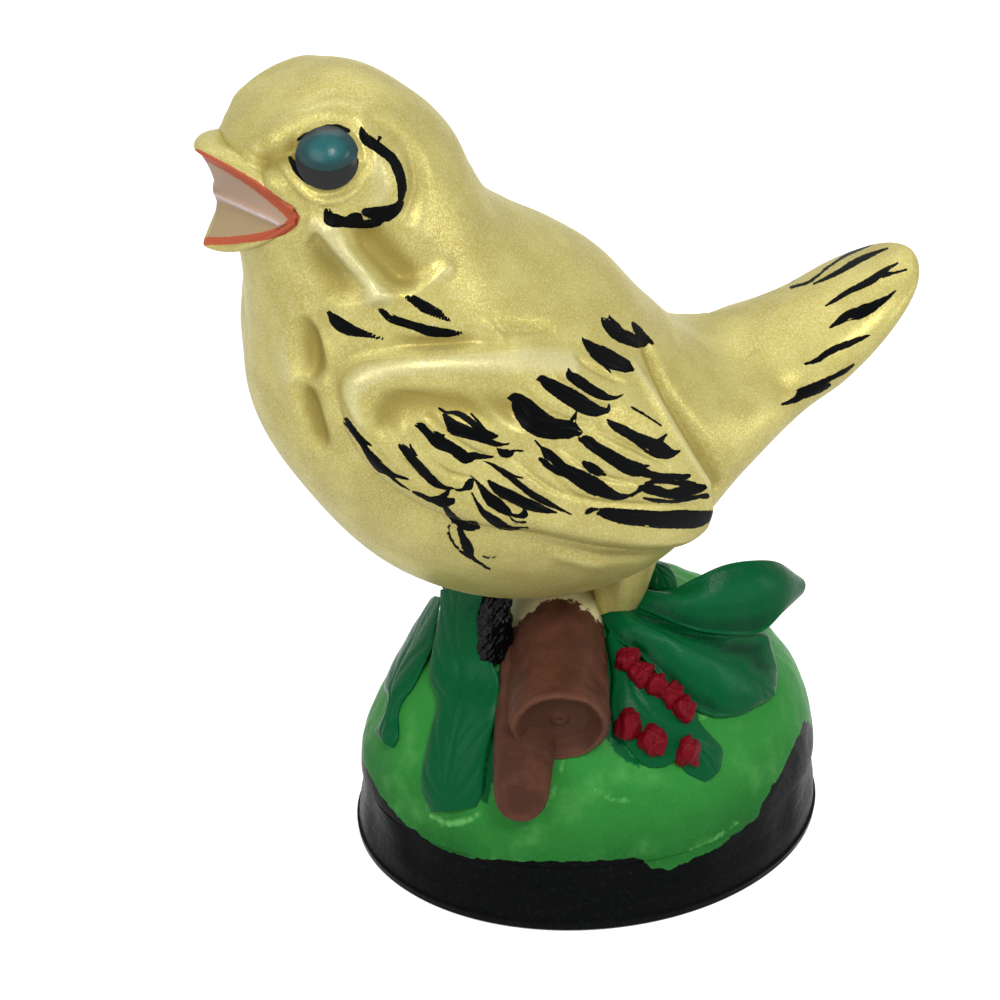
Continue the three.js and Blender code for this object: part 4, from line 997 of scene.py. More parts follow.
def side_of(x, z):
    """Half width of the bird at a place seen from its side: the section's width times the root of
    1 - across^2, with across held short of the section's edge."""
    angle = np.degrees(np.arctan2(z - FAN_Z, x - FAN_X)) % 360
    middle, depth, width = bird_section(rounded_turn(angle))
    across = (np.hypot(x - FAN_X, z - FAN_Z) - middle) / np.maximum(depth, LEAST_DEPTH)
    held = np.clip(across, -SIDE_HOLD, SIDE_HOLD)
    return width * np.sqrt(1 - held * held)


# Wings

def rolled_over(share, lip):
    """1 up to the last lip of the share, then a quarter circle down to 0."""
    past = np.clip((share - (1 - lip)) / lip, 0, 1)
    return np.sqrt(1 - past ** 2)


def wing_stand(along, across):
    """How far the wing stands out: it swells towards the flight feathers, rises gently from its top edge
    and its shoulder, and rolls over in a round lip at its lower and rear edges."""
    swell = smoothstep(along, *WING_SWELL_SPAN)
    stand = WING_STAND_FRONT + (WING_STAND_REAR - WING_STAND_FRONT) * swell
    top = smoothstep(across, *WING_TOP_RISE)
    shoulder = smoothstep(along, *WING_SHOULDER_RISE)
    lip = rolled_over(across, WING_LIP)
    rear = rolled_over(along, WING_REAR_LIP)
    return (stand + WING_SINK) * np.minimum(top, lip) * np.minimum(shoulder, rear) - WING_SINK


def wing(name, side):
    """Rows across the wing between its top and low outlines, laid on the bird's side and moved out by the
    wing's stand and the relief; the back of each row runs inside the body."""
    rows, sides = WING_GRID
    along = np.linspace(WING_END, 1 - WING_END, rows)[:, None]
    across = np.linspace(0, 1, sides)[None, :]
    top = spline_at(WING_TOP, along, held=True)
    low = spline_at(WING_LOW, along, held=True)
    spot = top + (low - top) * across[..., None]
    x, z = spot[..., 0], spot[..., 1]
    body = np.stack([x, -side_of(x, z), z], axis=-1) + PERCH
    outer = body - wing_stand(along, across)[..., None] * np.array([0.0, 1.0, 0.0])
    normals = sheet_normals(outer)
    normals = normals * -np.sign(normals[..., 1:2])
    relief = side_relief(body) + fine_relief(outer, normals, feathers=True)
    outer = outer + relief[..., None] * normals
    inner = np.stack([x, -side_of(x, z) + WING_ROOT, z], axis=-1)[:, ::-WING_INNER_STEP] + PERCH
    rings = np.concatenate([outer, inner], axis=1)
    rings = rings * np.array([1, -side, 1])
    piece = capped(name, rings)
    relief = np.concatenate([relief, np.zeros(inner.shape[:2])], axis=1)
    store_relief(piece, relief)
    return piece


# Eyes

def eye(name, side):
    """A lens on the side of the head: height = stand - fall x share^2 out from its axis, with the iris a
    second, oval dome on it; its back is a shallow cone inside the head."""
    step = EYE_PROBE
    dx = (side_of(EYE_X + step, EYE_Z) - side_of(EYE_X - step, EYE_Z)) / (2 * step)
    dz = (side_of(EYE_X, EYE_Z + step) - side_of(EYE_X, EYE_Z - step)) / (2 * step)
    axis = unit(np.array([-dx, 1.0, -dz]))
    centre = np.array([EYE_X, side_of(EYE_X, EYE_Z), EYE_Z])
    flat = unit(np.cross(axis, UP))
    upright = np.cross(flat, axis)
    rows, sides = EYE_GRID
    share = np.linspace(EYE_FIRST_SHARE, 1, rows)[:, None]
    around = full_turn(sides)[None, :]
    sideways = EYE_REACH * share * np.cos(around)
    upwards = EYE_REACH * share * np.sin(around)
    iris = 1 - (sideways / IRIS_SEMI[0]) ** 2 - ((upwards - IRIS_UP) / IRIS_SEMI[1]) ** 2
    lid = smoothstep(-iris, -LID_EDGE, LID_EDGE) * smoothstep(IRIS_UP - upwards, 0.0, LID_BELOW)
    height = EYE_STAND[side] - EYE_FALL * share ** 2 + IRIS_RISE * smoothstep(iris, 0.0, IRIS_ROUND)
    front = centre + sideways[..., None] * flat + upwards[..., None] * upright + height[..., None] * axis
    back = centre - EYE_BACK * axis
    rings = front * np.array([1, side, 1]) + PERCH
    piece = skin(name, rings, rings[0].mean(axis=0), back * np.array([1, side, 1]) + PERCH)
    store(piece, "iris", np.append(iris.ravel(), [1.0, 0.0]))
    store(piece, "lid", np.append(lid.ravel(), [0.0, 1.0]))
    return piece


# Beak

def lip_line(tip, bow, along):
    """A lip from corner to corner: forwards and upwards go from the tip to the corner by powers of the
    share."""
    share = np.abs(along)
    forwards = share ** bow[0]
    upwards = share ** bow[1]
    return np.stack([
        tip[0] + (GAPE_CORNER[0] - tip[0]) * forwards,
        GAPE_HALF_WIDTH * along,
        tip[1] + (GAPE_CORNER[1] - tip[1]) * upwards,
    ], axis=-1)


def behind(points, depth):
    """Points moved a depth towards the throat."""
    return points + depth * unit(np.array(THROAT) - points)


def beak_half(name, tip, bow, outwards):
    """A rounded section of depth behind the lip and height above it, carried along the lip."""
    rows, sides = BEAK_GRID
    along = np.linspace(-GAPE_REACH, GAPE_REACH, rows)[:, None]
    profile = spline_at(BEAK_PROFILE, np.linspace(0, 1, sides, endpoint=False))[None]
    lip = lip_line(tip, bow, along)
    return capped(name, behind(lip, profile[..., :1]) + outwards * profile[..., 1:] * UP + PERCH)


def mouth_lining():
    """A sheet from the upper to the lower lip, dished by a parabola, with the tongue's ridge on it and a
    back behind it."""
    rows, sides = LINING_GRID
    along = np.linspace(-GAPE_REACH, GAPE_REACH, rows)[:, None]
    drop = np.linspace(0, 1, sides)[None, :, None]
    upper = behind(lip_line(BEAK_UPPER_TIP, UPPER_LIP_BOW, along), LINING_INSET)
    lower = behind(lip_line(BEAK_LOWER_TIP, LOWER_LIP_BOW, along), LINING_INSET)
    front = upper + (lower - upper) * drop
    dish = LINING_DISH * (1 - along[..., None] ** 2) ** LINING_DISH_POWER * 4 * drop * (1 - drop)
    front = front + dish * BACK + PERCH
    pixels = photo_pixels(left_twin(front)).reshape(-1, 2)
    gap, place, across = nearest_on_line(pixels, fine_line(TONGUE_LINE)[:, :2])
    ridge = TONGUE_RISE * np.exp(-(gap / TONGUE_HALF_WIDTH) ** 2)
    front = front - ridge.reshape(front.shape[:2])[..., None] * np.array(TONGUE_WAY)
    back = front[:, ::-LINING_BACK_STEP] + LINING_THICKNESS * BACK
    return capped("mouth_lining", np.concatenate([front, back], axis=1))


# Mound and plinth

def mound_point(bearing, rise, above=0.0, grow=0.0):
    """Point on the dome: cos(rise)^a of the oval's half axes outwards and sin(rise)^b of the height up."""
    slope = np.clip(rise, 0, 1) * np.pi / 2
    spread = np.maximum(np.cos(slope), 0) ** MOUND_SPREAD_POWER
    climb = np.sin(slope) ** MOUND_CLIMB_POWER
    x = (MOUND_SEMI_LENGTH + grow) * spread * np.cos(np.radians(bearing))
    y = (MOUND_SEMI_WIDTH + grow) * spread * np.sin(np.radians(bearing))
    z = PLINTH_HEIGHT + (MOUND_HEIGHT + grow) * climb + above
    return np.stack(np.broadcast_arrays(x, y, z), axis=-1)


def mound_normal(bearing, rise):
    """Cross product of small steps round and up the dome."""
    around = mound_point(bearing + 1, rise) - mound_point(bearing - 1, rise)
    uphill = mound_point(bearing, rise + RISE_STEP) - mound_point(bearing, rise - RISE_STEP)
    return unit(np.cross(around, uphill))


def wander(points, size):
    """A smooth uneven height between -1 and 1: products of sines of the three coordinates, about one size
    apart."""
    x, y, z = (points[..., k] * 2 * np.pi / size for k in range(3))
    first = np.sin(x + 1.3 * np.sin(0.7 * y)) * np.sin(y + 1.1 * np.sin(0.8 * z) + 0.5)
    second = np.sin(0.63 * z + 1.7 + np.sin(0.5 * x)) * np.sin(0.81 * x - 0.57 * y + 2.1)
    return (first + second) / 2


def uneven(points, swellings):
    """Height of several swellings together: each one's height times the wandering of its size."""
    return sum(height * wander(points, size) for height, size in swellings)


def mound():
    """The dome from its crest to its rim, and its inside back up to the crest, a wall's thickness in."""
    rows, sides = MOUND_GRID
    bearing = np.linspace(-180, 180, sides, endpoint=False)[None, :]
    outer_rise = np.linspace(MOUND_CREST, 0.0, rows)[:, None]
    outer = mound_point(bearing, outer_rise)
    rim = smoothstep(outer[..., 2], PLINTH_HEIGHT, PLINTH_HEIGHT + MOUND_EVEN_RIM)
    swell = uneven(outer, MOUND_SWELLINGS) * rim
    outer = outer + swell[..., None] * mound_normal(bearing, np.clip(outer_rise, *MOUND_NORMAL_RISES))
    inner_rise = np.linspace(0.0, MOUND_CREST, MOUND_INNER_ROWS)[:, None]
    inner = mound_point(bearing, inner_rise, 0.0, -MOUND_WALL)
    return capped("mound", np.concatenate([outer, inner], axis=0))


def plinth():
    """Oval rings of an upright profile: round resting edge, drawn-in side with a slight fullness, top and
    bore."""
    rows, sides = PLINTH_GRID
    fine = profile_line(PLINTH_PROFILE, rows + 1)[:-1]
    bearing = np.linspace(-np.pi, np.pi, sides, endpoint=False)[None, :]
    height, inset = fine[:, :1], fine[:, 1:]
    x = (BASE_LENGTH / 2 - inset) * np.cos(bearing)
    y = (BASE_WIDTH / 2 - inset) * np.sin(bearing)
    rings = np.stack(np.broadcast_arrays(x, y, height + 0 * bearing), axis=-1)
    side = smoothstep(height, *PLINTH_SWELL_HEIGHTS) * (inset < PLINTH_SWELL_TO)
    swell = uneven(rings, PLINTH_SWELLINGS) * side
    outward = np.stack([np.cos(bearing), np.sin(bearing), 0 * bearing], axis=-1)
    rings = rings + (swell - PLINTH_SWELL_INSET * (swell != 0))[..., None] * outward
    return skin("plinth", rings)


# Log, branch, legs and feet

def timber(name, start, heading, fall, profile, bark, rim_highlight_share, lean):
    """A profile of distance along and radius, turned about a level axis that is sheared down, with rings
    that lean along it by a share of their height towards the cut face; the bark's unevenness is added to
    the radius. Keeps a painted highlight round the rim, times its share, less painted shade that grows
    with the depth into the cut face."""
    rows, sides = TIMBER_GRID
    heading = np.radians(heading)
    along = np.array([-np.sin(heading), -np.cos(heading), -fall])
    across = unit(np.cross(along, UP))
    turn = full_turn(sides)[None, :, None]
    fine = profile_line(profile, rows)
    reach, radius = fine[:, None, :1], fine[:, None, 1:]
    outward = np.cos(turn) * across + np.sin(turn) * UP
    rings = start + reach * along + radius * outward
    rings = rings + lean * radius * np.sin(turn) * smoothstep(reach, *LEAN_SPAN) * along
    rings = rings + uneven(rings, bark)[..., None] * outward * smoothstep(radius, *BARK_FADE)
    piece = capped(name, rings)
    rim = fine[:, 0].argmax()
    face = np.arange(rows) > rim
    # Painted highlight round the rim, and painted shade into the cut face.
    rim_highlight = rim_highlight_share * np.exp(-((fine[rim] - fine) ** 2).sum(axis=1) / RIM_HIGHLIGHT_WIDTH ** 2)
    wear = rim_highlight - face * smoothstep(fine[rim, 1] - fine[:, 1], *FACE_FADE)
    store(piece, "wear", np.append(np.repeat(wear, sides), [0.0, wear[-1]]))
    return piece


def log_point(along):
    """A place on the log's axis, a length from the perch towards the cut face."""
    heading = np.radians(LOG_HEADING)
    way = np.array([-np.sin(heading), -np.cos(heading), -LOG_FALL])
    return np.array([PERCH[0], PERCH[1], LOG_Z]) + along * way


def main_log():
    """The cut log under the bird, with a raised rim, a dished face and a pith knob."""
    return timber("main_log", log_point(0), LOG_HEADING, LOG_FALL, LOG_PROFILE, LOG_BARK,
                  rim_highlight_share=1.0, lean=LOG_LEAN)


def side_branch():
    """The sawn-off branch that leaves the log on the bird's front side."""
    heading = np.radians(LOG_HEADING)
    aside = BRANCH_ASIDE * np.array([-np.cos(heading), np.sin(heading), 0.0])
    start = log_point(BRANCH_AT) + aside - BRANCH_BELOW * UP
    return timber("side_branch", start, BRANCH_HEADING, BRANCH_FALL, BRANCH_PROFILE, BRANCH_BARK,
                  rim_highlight_share=0.0, lean=0.0)


def leg(name, side):
    """A tapering column from the mound into the belly, with feathery flutes round it."""
    rows, sides = LEG_GRID
    height = np.linspace(0, 1, rows)[:, None]
    around = full_turn(sides)[None, :]
    flutes = LEG_FLUTE * np.abs(np.sin(3 * around + 2 * height)) * smoothstep(height, *LEG_FLUTE_RISE)
    taper = (LEG_RADII[1] - LEG_RADII[0]) * height ** LEG_TAPER_POWER
    radius = LEG_RADII[0] + taper + flutes - LEG_INSET
    x = LEG_SPOT[0] - LEG_LEAN * (1 - height) + radius * np.cos(around)
    y = side * LEG_SPOT[1] + radius * np.sin(around)
    z = PERCH[2] - LEG_SINK + LEG_HEIGHT * height + 0 * around
    return capped(name, np.stack([x, y, z], axis=-1))


def foot(name, side):
    """A stubby clenched foot: a round column with three rounded toes and lumpy paint."""
    rows, sides = FOOT_GRID
    height = np.linspace(0, 1, rows)[:, None]
    around = full_turn(sides)[None, :]
    toes = TOE_BULGE * np.cos(3 * around + TOE_TURN) * (1 - smoothstep(height, *TOE_FADE))
    radius = FOOT_RADIUS + FOOT_SPREAD * (1 - height) ** 2 + toes
    x = FOOT_SPOT[0] + radius * np.cos(around)
    y = side * FOOT_SPOT[1] + radius * np.sin(around)
    z = PERCH[2] - FOOT_SINK + FOOT_HEIGHT * height + 0 * around
    rings = np.stack([x, y, z], axis=-1)
    outward = np.stack(np.broadcast_arrays(np.cos(around), np.sin(around), 0 * height), axis=-1)
    return capped(name, rings + uneven(rings, FOOT_SWELLINGS)[..., None] * outward)


# Leaves and berries

VEIN_SLANT = 0.3
VEIN_POWER = 5
VEIN_SHARE = 0.7
VEIN_START = (0.04, 0.2)
VEIN_EDGE = (0.8, 0.97)
VEIN_STALK = (0.02, 0.15)
MIDRIB_WIDTH = 0.1
RIDGE_SHIFT = 0.25
RIDGE_STALK = (0.0, 0.2)
RIDGE_TIP = (0.6, 1.0)
RIDGE_EDGE = (0.85, 1.0)
UPPER_SIDE = (0.0, 0.3)


def vein_relief(along, across, made):
    """Side veins: narrow grooves from a power of the cosine of a phase that runs along the leaf and back
    from the middle to the edge, with a groove down the middle. Ridges: cosines across, running the
    leaf's length."""
    out = np.abs(across)
    phase = made["veins"] * (along - VEIN_SLANT * out)
    side_veins = VEIN_SHARE * np.abs(np.cos(np.pi * phase)) ** VEIN_POWER * smoothstep(out, *VEIN_START)
    midrib = np.exp(-(across / MIDRIB_WIDTH) ** 2)
    fade = smoothstep(along, *VEIN_STALK) * (1 - smoothstep(out, *VEIN_EDGE))
    ridges = np.cos(np.pi * made["ridges"] * (across + RIDGE_SHIFT)) * smoothstep(along, *RIDGE_STALK)
    ridges = ridges * (1 - smoothstep(along, *RIDGE_TIP)) * (1 - smoothstep(out, *RIDGE_EDGE))
    return made["ridge_height"] * ridges - made["vein_depth"] * np.maximum(side_veins, midrib) * fade


def leaf(name):
    """A lens section from edge to edge, carried along the leaf: across the cosine of the turn, outwards
    half the thickness times its sine and the crown times its square, with ridges and veins on the upper
    side."""
    made = LEAVES[name]
    rows, sides = LEAF_GRID
    first, second = np.array(made["edges"], float)
    along = np.linspace(0, 1, rows)
    left = spline_at(mound_point(*first.T), along)
    right = spline_at(mound_point(*second.T), along)
    bearing, rise, above = ((first + second) / 2).T
    out = spline_at(mound_normal(bearing, rise), along)
    reach = (right - left) / 2
    sideways = unit(reach)
    out = unit(out - np.sum(out * sideways, axis=1, keepdims=True) * sideways)
    around = full_turn(sides)[None, :]
    share = along[:, None]
    across = np.cos(around)
    full = np.sin(np.pi * (LEAF_ENDS[0] + (LEAF_ENDS[1] - LEAF_ENDS[0]) * share)) ** LEAF_FULLNESS
    veins = vein_relief(share, across, made) * smoothstep(np.sin(around), *UPPER_SIDE)
    height = full * LEAF_THICKNESS / 2 * np.sin(around) + made["crown"] * np.sin(around) ** 2 + veins
    middle = ((left + right) / 2)[:, None, :]
    rings = middle + across[..., None] * reach[:, None, :] + height[..., None] * out[:, None, :]
    piece = capped(name, rings)
    grid = np.stack(np.broadcast_arrays(share, across, veins), axis=-1).reshape(-1, 3)
    store(piece, "leaf_place", np.vstack([grid, [0, 0, 0], [1, 0, 0]]))
    return piece


def berry(number):
    """A ball pinched by lumps of clay and paint: its radius wanders round it."""
    rows, sides = BERRY_GRID
    bearing, rise = BERRIES[number]
    centre = mound_point(np.array(bearing), np.array(rise), BERRY_LIFT)
    lean = np.linspace(POLE_GAP, np.pi - POLE_GAP, rows)[:, None, None]
    around = full_turn(sides)[None, :, None]
    ball = np.concatenate([np.sin(lean) * np.cos(around), np.sin(lean) * np.sin(around),
                           np.cos(lean) + 0 * around], axis=-1)
    lumps = 1 + BERRY_LUMP[0] * wander(ball * BERRY_RADIUS + BERRY_STRIDE * number, BERRY_LUMP[1])
    lumps = lumps + BERRY_GRAIN[0] * wander(ball + number, BERRY_GRAIN[1])
    rings = centre + BERRY_SWELL[number] * BERRY_RADIUS * lumps[..., None] * ball
    return capped(f"berry_{number + 1}", rings)


# Finishes

def finish_tree(name):
    """A new material, its node tree and its shader."""
    material = bpy.data.materials.new(name)
    material.use_nodes = True
    tree = material.node_tree
    return material, tree, tree.nodes["Principled BSDF"]


def feed(tree, socket, value):
    """Sets a socket to a value or joins another socket to it."""
    if isinstance(value, bpy.types.NodeSocket):
        tree.links.new(value, socket)
    else:
        socket.default_value = value


def object_place(tree):
    """Place on the object, in metres."""
    return tree.nodes.new("ShaderNodeTexCoord").outputs["Object"]


def noise(tree, place, size, detail=3.0, roughness=0.55):
    """Noise whose spots are about one size across, in millimetres."""
    made = tree.nodes.new("ShaderNodeTexNoise")
    made.inputs["Scale"].default_value = 1.0 / (size * METRES)
    made.inputs["Detail"].default_value = detail
    made.inputs["Roughness"].default_value = roughness
    tree.links.new(place, made.inputs["Vector"])
    return made.outputs["Fac"]


def reckon(tree, operation, first, second=0.0, third=None):
    """One sum worked out from two or three values or sockets."""
    made = tree.nodes.new("ShaderNodeMath")
    made.operation = operation
    feed(tree, made.inputs[0], first)
    feed(tree, made.inputs[1], second)
    if third is not None:
        feed(tree, made.inputs[2], third)
    return made.outputs[0]


def plus(tree, value, share, amount):
    """A value with an amount times a share added to it."""
    return reckon(tree, "MULTIPLY_ADD", share, amount, value)


def ramp(tree, value, low, high, to_low=0.0, to_high=1.0):
    """Smooth change from to_low at low to to_high at high."""
    made = tree.nodes.new("ShaderNodeMapRange")
    made.interpolation_type = "SMOOTHSTEP"
    for name, number in (("From Min", low), ("From Max", high), ("To Min", to_low), ("To Max", to_high)):
        made.inputs[name].default_value = number
    tree.links.new(value, made.inputs["Value"])
    return made.outputs["Result"]


def blend(tree, share, first, second):
    """A colour between two others."""
    made = tree.nodes.new("ShaderNodeMix")
    made.data_type = "RGBA"
    feed(tree, made.inputs[0], share)
    feed(tree, made.inputs[6], first)
    feed(tree, made.inputs[7], second)
    return made.outputs[2]


def bump(tree, height, strength, distance):
    """Tilt of the surface by a height; the distance is in millimetres."""
    made = tree.nodes.new("ShaderNodeBump")
    made.inputs["Strength"].default_value = strength
    made.inputs["Distance"].default_value = distance * METRES
    tree.links.new(height, made.inputs["Height"])
    return made.outputs["Normal"]


def stored(tree, name, output="Fac"):
    """Values that a piece keeps for its points."""
    made = tree.nodes.new("ShaderNodeAttribute")
    made.attribute_name = name
    return made.outputs[output]


def parts(tree, triple):
    """The three parts of a triple."""
    made = tree.nodes.new("ShaderNodeSeparateXYZ")
    tree.links.new(triple, made.inputs[0])
    return made.outputs


def satin(tree, shader, level, grain, rough):
    """One level of reflection all over, and a roughness that a grain moves between two values."""
    shader.inputs["Specular IOR Level"].default_value = level
    feed(tree, shader.inputs["Roughness"], ramp(tree, grain, *GRAIN_SPAN, *rough))


def colour(red, green, blue):
    """A colour written as 0 to 255 display values, brought to linear light."""
    display = np.array([red, green, blue]) / 255
    linear = np.where(display <= 0.04045, display / 12.92, ((display + 0.055) / 1.055) ** 2.4)
    return (*linear.tolist(), 1.0)


GOLD = colour(194, 183, 105)
GOLD_DEEP = colour(180, 167, 90)
GOLD_PALE = colour(240, 236, 200)
# Deeper gold of pooled paint and painted shade in the hollows
GOLD_SHADED_HOLLOW = colour(146, 128, 58)
BLACK_PAINT = colour(7, 8, 9)
BLACK_DRY = colour(30, 32, 35)
TEAL = colour(4, 56, 58)
TEAL_PALE = colour(26, 92, 94)
LIP_RED = colour(190, 96, 68)
LIP_PALE = colour(200, 112, 84)
MOUTH_PINK = colour(186, 158, 136)
MOUTH_TAN = colour(180, 156, 120)
# Whitish of a painted highlight along the tongue's ridge
TONGUE_HIGHLIGHT = colour(232, 216, 216)
MEADOW = colour(52, 138, 59)
# Deep green of painted shade low on the mound, mottled
MEADOW_SHADED = colour(24, 80, 34)
MEADOW_PALE = colour(116, 192, 106)
LEAF = colour(3, 86, 46)
LEAF_DEEP = colour(0, 54, 29)
LEAF_PALE = colour(32, 114, 76)
BARK = colour(95, 59, 45)
BARK_DEEP = colour(76, 48, 37)
BARK_PALE = colour(132, 92, 72)
BERRY = colour(112, 12, 26)
BERRY_PALE = colour(186, 52, 64)
SLIP_CREAM = colour(222, 214, 168)
PAINT_SHEEN = 0.06
PEARL_SHEEN = 0.03
GROUND_SHEEN = 0.03
EYE_SHEEN = 0.3
FOOT_SHEEN = 0.12
HOLLOW_DULLING = 0.6
HOLLOW_SHADE = 0.75
# Roughness, or share of metal, at the low and the high end of a grain's middle range
GRAIN_SPAN = (0.3, 0.7)
PEARL_METAL = (0.24, 0.48)
PEARL_ROUGH = (0.42, 0.34)
EYE_ROUGH = (0.34, 0.22)
MOUTH_ROUGH = (0.5, 0.35)
GROUND_ROUGH = (0.42, 0.28)
BARK_ROUGH = (0.5, 0.3)
LEAF_ROUGH = (0.32, 0.18)
BERRY_ROUGH = (0.45, 0.28)
FOOT_ROUGH = (0.26, 0.14)
# Sizes of spots in millimetres, and heights between which painted shade on the meadow's green gives way
FLAKE_SIZE = 0.24
MOTTLE_SIZE = 5.0
MEADOW_SHADE_HEIGHTS = (8 * METRES, 24 * METRES)
# Streaks of a brush to the millimetre along and across its stroke
STREAKS_ALONG = 0.3
STREAKS_ACROSS = 2.6


def brush_mask(tree, place):
    """Share of black paint: inside the stroke's edge, which noise makes ragged, and short of its ends,
    which long streaks along the stroke draw out into points; and those streaks."""
    along, across, inside = parts(tree, stored(tree, "brush", "Vector"))
    streak_place = tree.nodes.new("ShaderNodeCombineXYZ")
    feed(tree, streak_place.inputs[0], reckon(tree, "MULTIPLY", along, STREAKS_ALONG))
    feed(tree, streak_place.inputs[1], reckon(tree, "MULTIPLY", across, STREAKS_ACROSS))
    made = tree.nodes.new("ShaderNodeTexNoise")
    made.inputs["Scale"].default_value = 1.0
    made.inputs["Detail"].default_value = 2.0
    tree.links.new(streak_place.outputs[0], made.inputs["Vector"])
    streak = made.outputs["Fac"]
    ragged = plus(tree, -0.13, noise(tree, place, 0.7, 4.0, 0.6), 0.3)
    streaked = plus(tree, -0.12, streak, 0.24)
    edge = reckon(tree, "ADD", reckon(tree, "ADD", inside, ragged), streaked)
    dry = ramp(tree, plus(tree, streak, noise(tree, place, 1.6, 2.0), 0.5), 0.98, 1.06)
    edge = plus(tree, edge, dry, -0.9)
    tip = reckon(tree, "ADD", stored(tree, "brush_end"), plus(tree, -0.7, streak, 2.0))
    return ramp(tree, reckon(tree, "MINIMUM", edge, tip), -0.02, 0.05), streak


def pearl_gold(name, marked):
    """Pearl lustre: a slowly mottled gold with fine pale flakes that shine as metal, duller in hollows,
    where pooled paint and painted shade make it deeper, and with a painted highlight that makes it paler on
    ridges; where it is marked, with red lips and black strokes on it."""
    material, tree, shader = finish_tree(name)
    place = object_place(tree)
    flake = noise(tree, place, FLAKE_SIZE, 2.0, 0.7)
    base = blend(tree, ramp(tree, noise(tree, place, MOTTLE_SIZE, 4.0), 0.35, 0.7), GOLD_DEEP, GOLD)
    base = blend(tree, ramp(tree, flake, 0.4, 0.7, 0.0, 0.28), base, GOLD_PALE)
    relief = stored(tree, "relief")
    hollow = ramp(tree, relief, -1.2, -0.1, 1.0, 0.0)
    lustre = plus(tree, 1.0, hollow, -HOLLOW_DULLING)
    metal = reckon(tree, "MULTIPLY", ramp(tree, flake, *GRAIN_SPAN, *PEARL_METAL), lustre)
    # Pooled paint and painted shade: deeper gold in the hollows.
    base = blend(tree, reckon(tree, "MULTIPLY", hollow, HOLLOW_SHADE), base, GOLD_SHADED_HOLLOW)
    # Painted highlight: paler gold on the ridges.
    base = blend(tree, ramp(tree, relief, 0.1, 0.8, 0.0, 0.3), base, GOLD_PALE)
    if marked:
        red = ramp(tree, plus(tree, stored(tree, "lip"), noise(tree, place, 0.6), 0.3), 0.1, 0.2)
        base = blend(tree, red, base, blend(tree, ramp(tree, flake, 0.5, 0.8), LIP_RED, LIP_PALE))
        black, streak = brush_mask(tree, place)
        base = blend(tree, black, base, blend(tree, ramp(tree, streak, 0.55, 0.8), BLACK_PAINT, BLACK_DRY))
        for paint in (red, black):
            metal = reckon(tree, "MULTIPLY", metal, reckon(tree, "SUBTRACT", 1.0, paint))
    feed(tree, shader.inputs["Base Color"], base)
    feed(tree, shader.inputs["Metallic"], metal)
    satin(tree, shader, PEARL_SHEEN, flake, PEARL_ROUGH)
    feed(tree, shader.inputs["Normal"], bump(tree, flake, 1.0, 0.03))
    return material


def painted(name, tones, spot, rough, grain, sheen=PAINT_SHEEN):
    """Brushed hobby paint: slow mottling between a deep and a middle tone, and a fine brush grain in a
    pale tone, in the gloss and in the surface."""
    deep, middle, pale = tones
    material, tree, shader = finish_tree(name)
    place = object_place(tree)
    fine = noise(tree, place, grain, 3.0, 0.65)
    base = blend(tree, ramp(tree, noise(tree, place, spot, 4.0), 0.3, 0.7), deep, middle)
    base = blend(tree, ramp(tree, fine, 0.55, 0.85, 0.0, 0.4), base, pale)
    feed(tree, shader.inputs["Base Color"], base)
    satin(tree, shader, sheen, fine, rough)
    feed(tree, shader.inputs["Normal"], bump(tree, fine, 0.2, 0.06))
    return material


def eye_teal():
    """Teal iris, paler on its dome, with black lid paint."""
    material, tree, shader = finish_tree("eye_teal")
    place = object_place(tree)
    flake = noise(tree, place, 0.3, 2.0)
    dome = ramp(tree, plus(tree, stored(tree, "iris"), flake, 0.5), 0.55, 1.15)
    lid = ramp(tree, plus(tree, stored(tree, "lid"), flake, 0.4), 0.6, 0.75)
    black, streak = brush_mask(tree, place)
    base = blend(tree, dome, TEAL, TEAL_PALE)
    base = blend(tree, reckon(tree, "MAXIMUM", black, lid), base, BLACK_PAINT)
    feed(tree, shader.inputs["Base Color"], base)
    satin(tree, shader, EYE_SHEEN, flake, EYE_ROUGH)
    feed(tree, shader.inputs["Normal"], bump(tree, flake, 0.3, 0.06))
    return material


def mouth_cream():
    """Pale pink above, tan below, a painted highlight in whitish along the tongue's ridge, and red lips at
    the edge.
    """
    material, tree, shader = finish_tree("mouth_cream")
    grain = noise(tree, object_place(tree), 0.4, 3.0)
    low, tongue, lip = parts(tree, stored(tree, "mouth", "Vector"))
    base = blend(tree, ramp(tree, plus(tree, low, grain, 0.4), 0.4, 0.9), MOUTH_PINK, MOUTH_TAN)
    # Painted highlight along the tongue's ridge.
    base = blend(tree, ramp(tree, plus(tree, tongue, grain, 0.5), 0.5, 1.1), base, TONGUE_HIGHLIGHT)
    base = blend(tree, ramp(tree, plus(tree, lip, grain, 0.3), 0.1, 0.2), base, LIP_RED)
    feed(tree, shader.inputs["Base Color"], base)
    satin(tree, shader, PAINT_SHEEN, grain, MOUTH_ROUGH)
    feed(tree, shader.inputs["Normal"], bump(tree, grain, 0.2, 0.05))
    return material


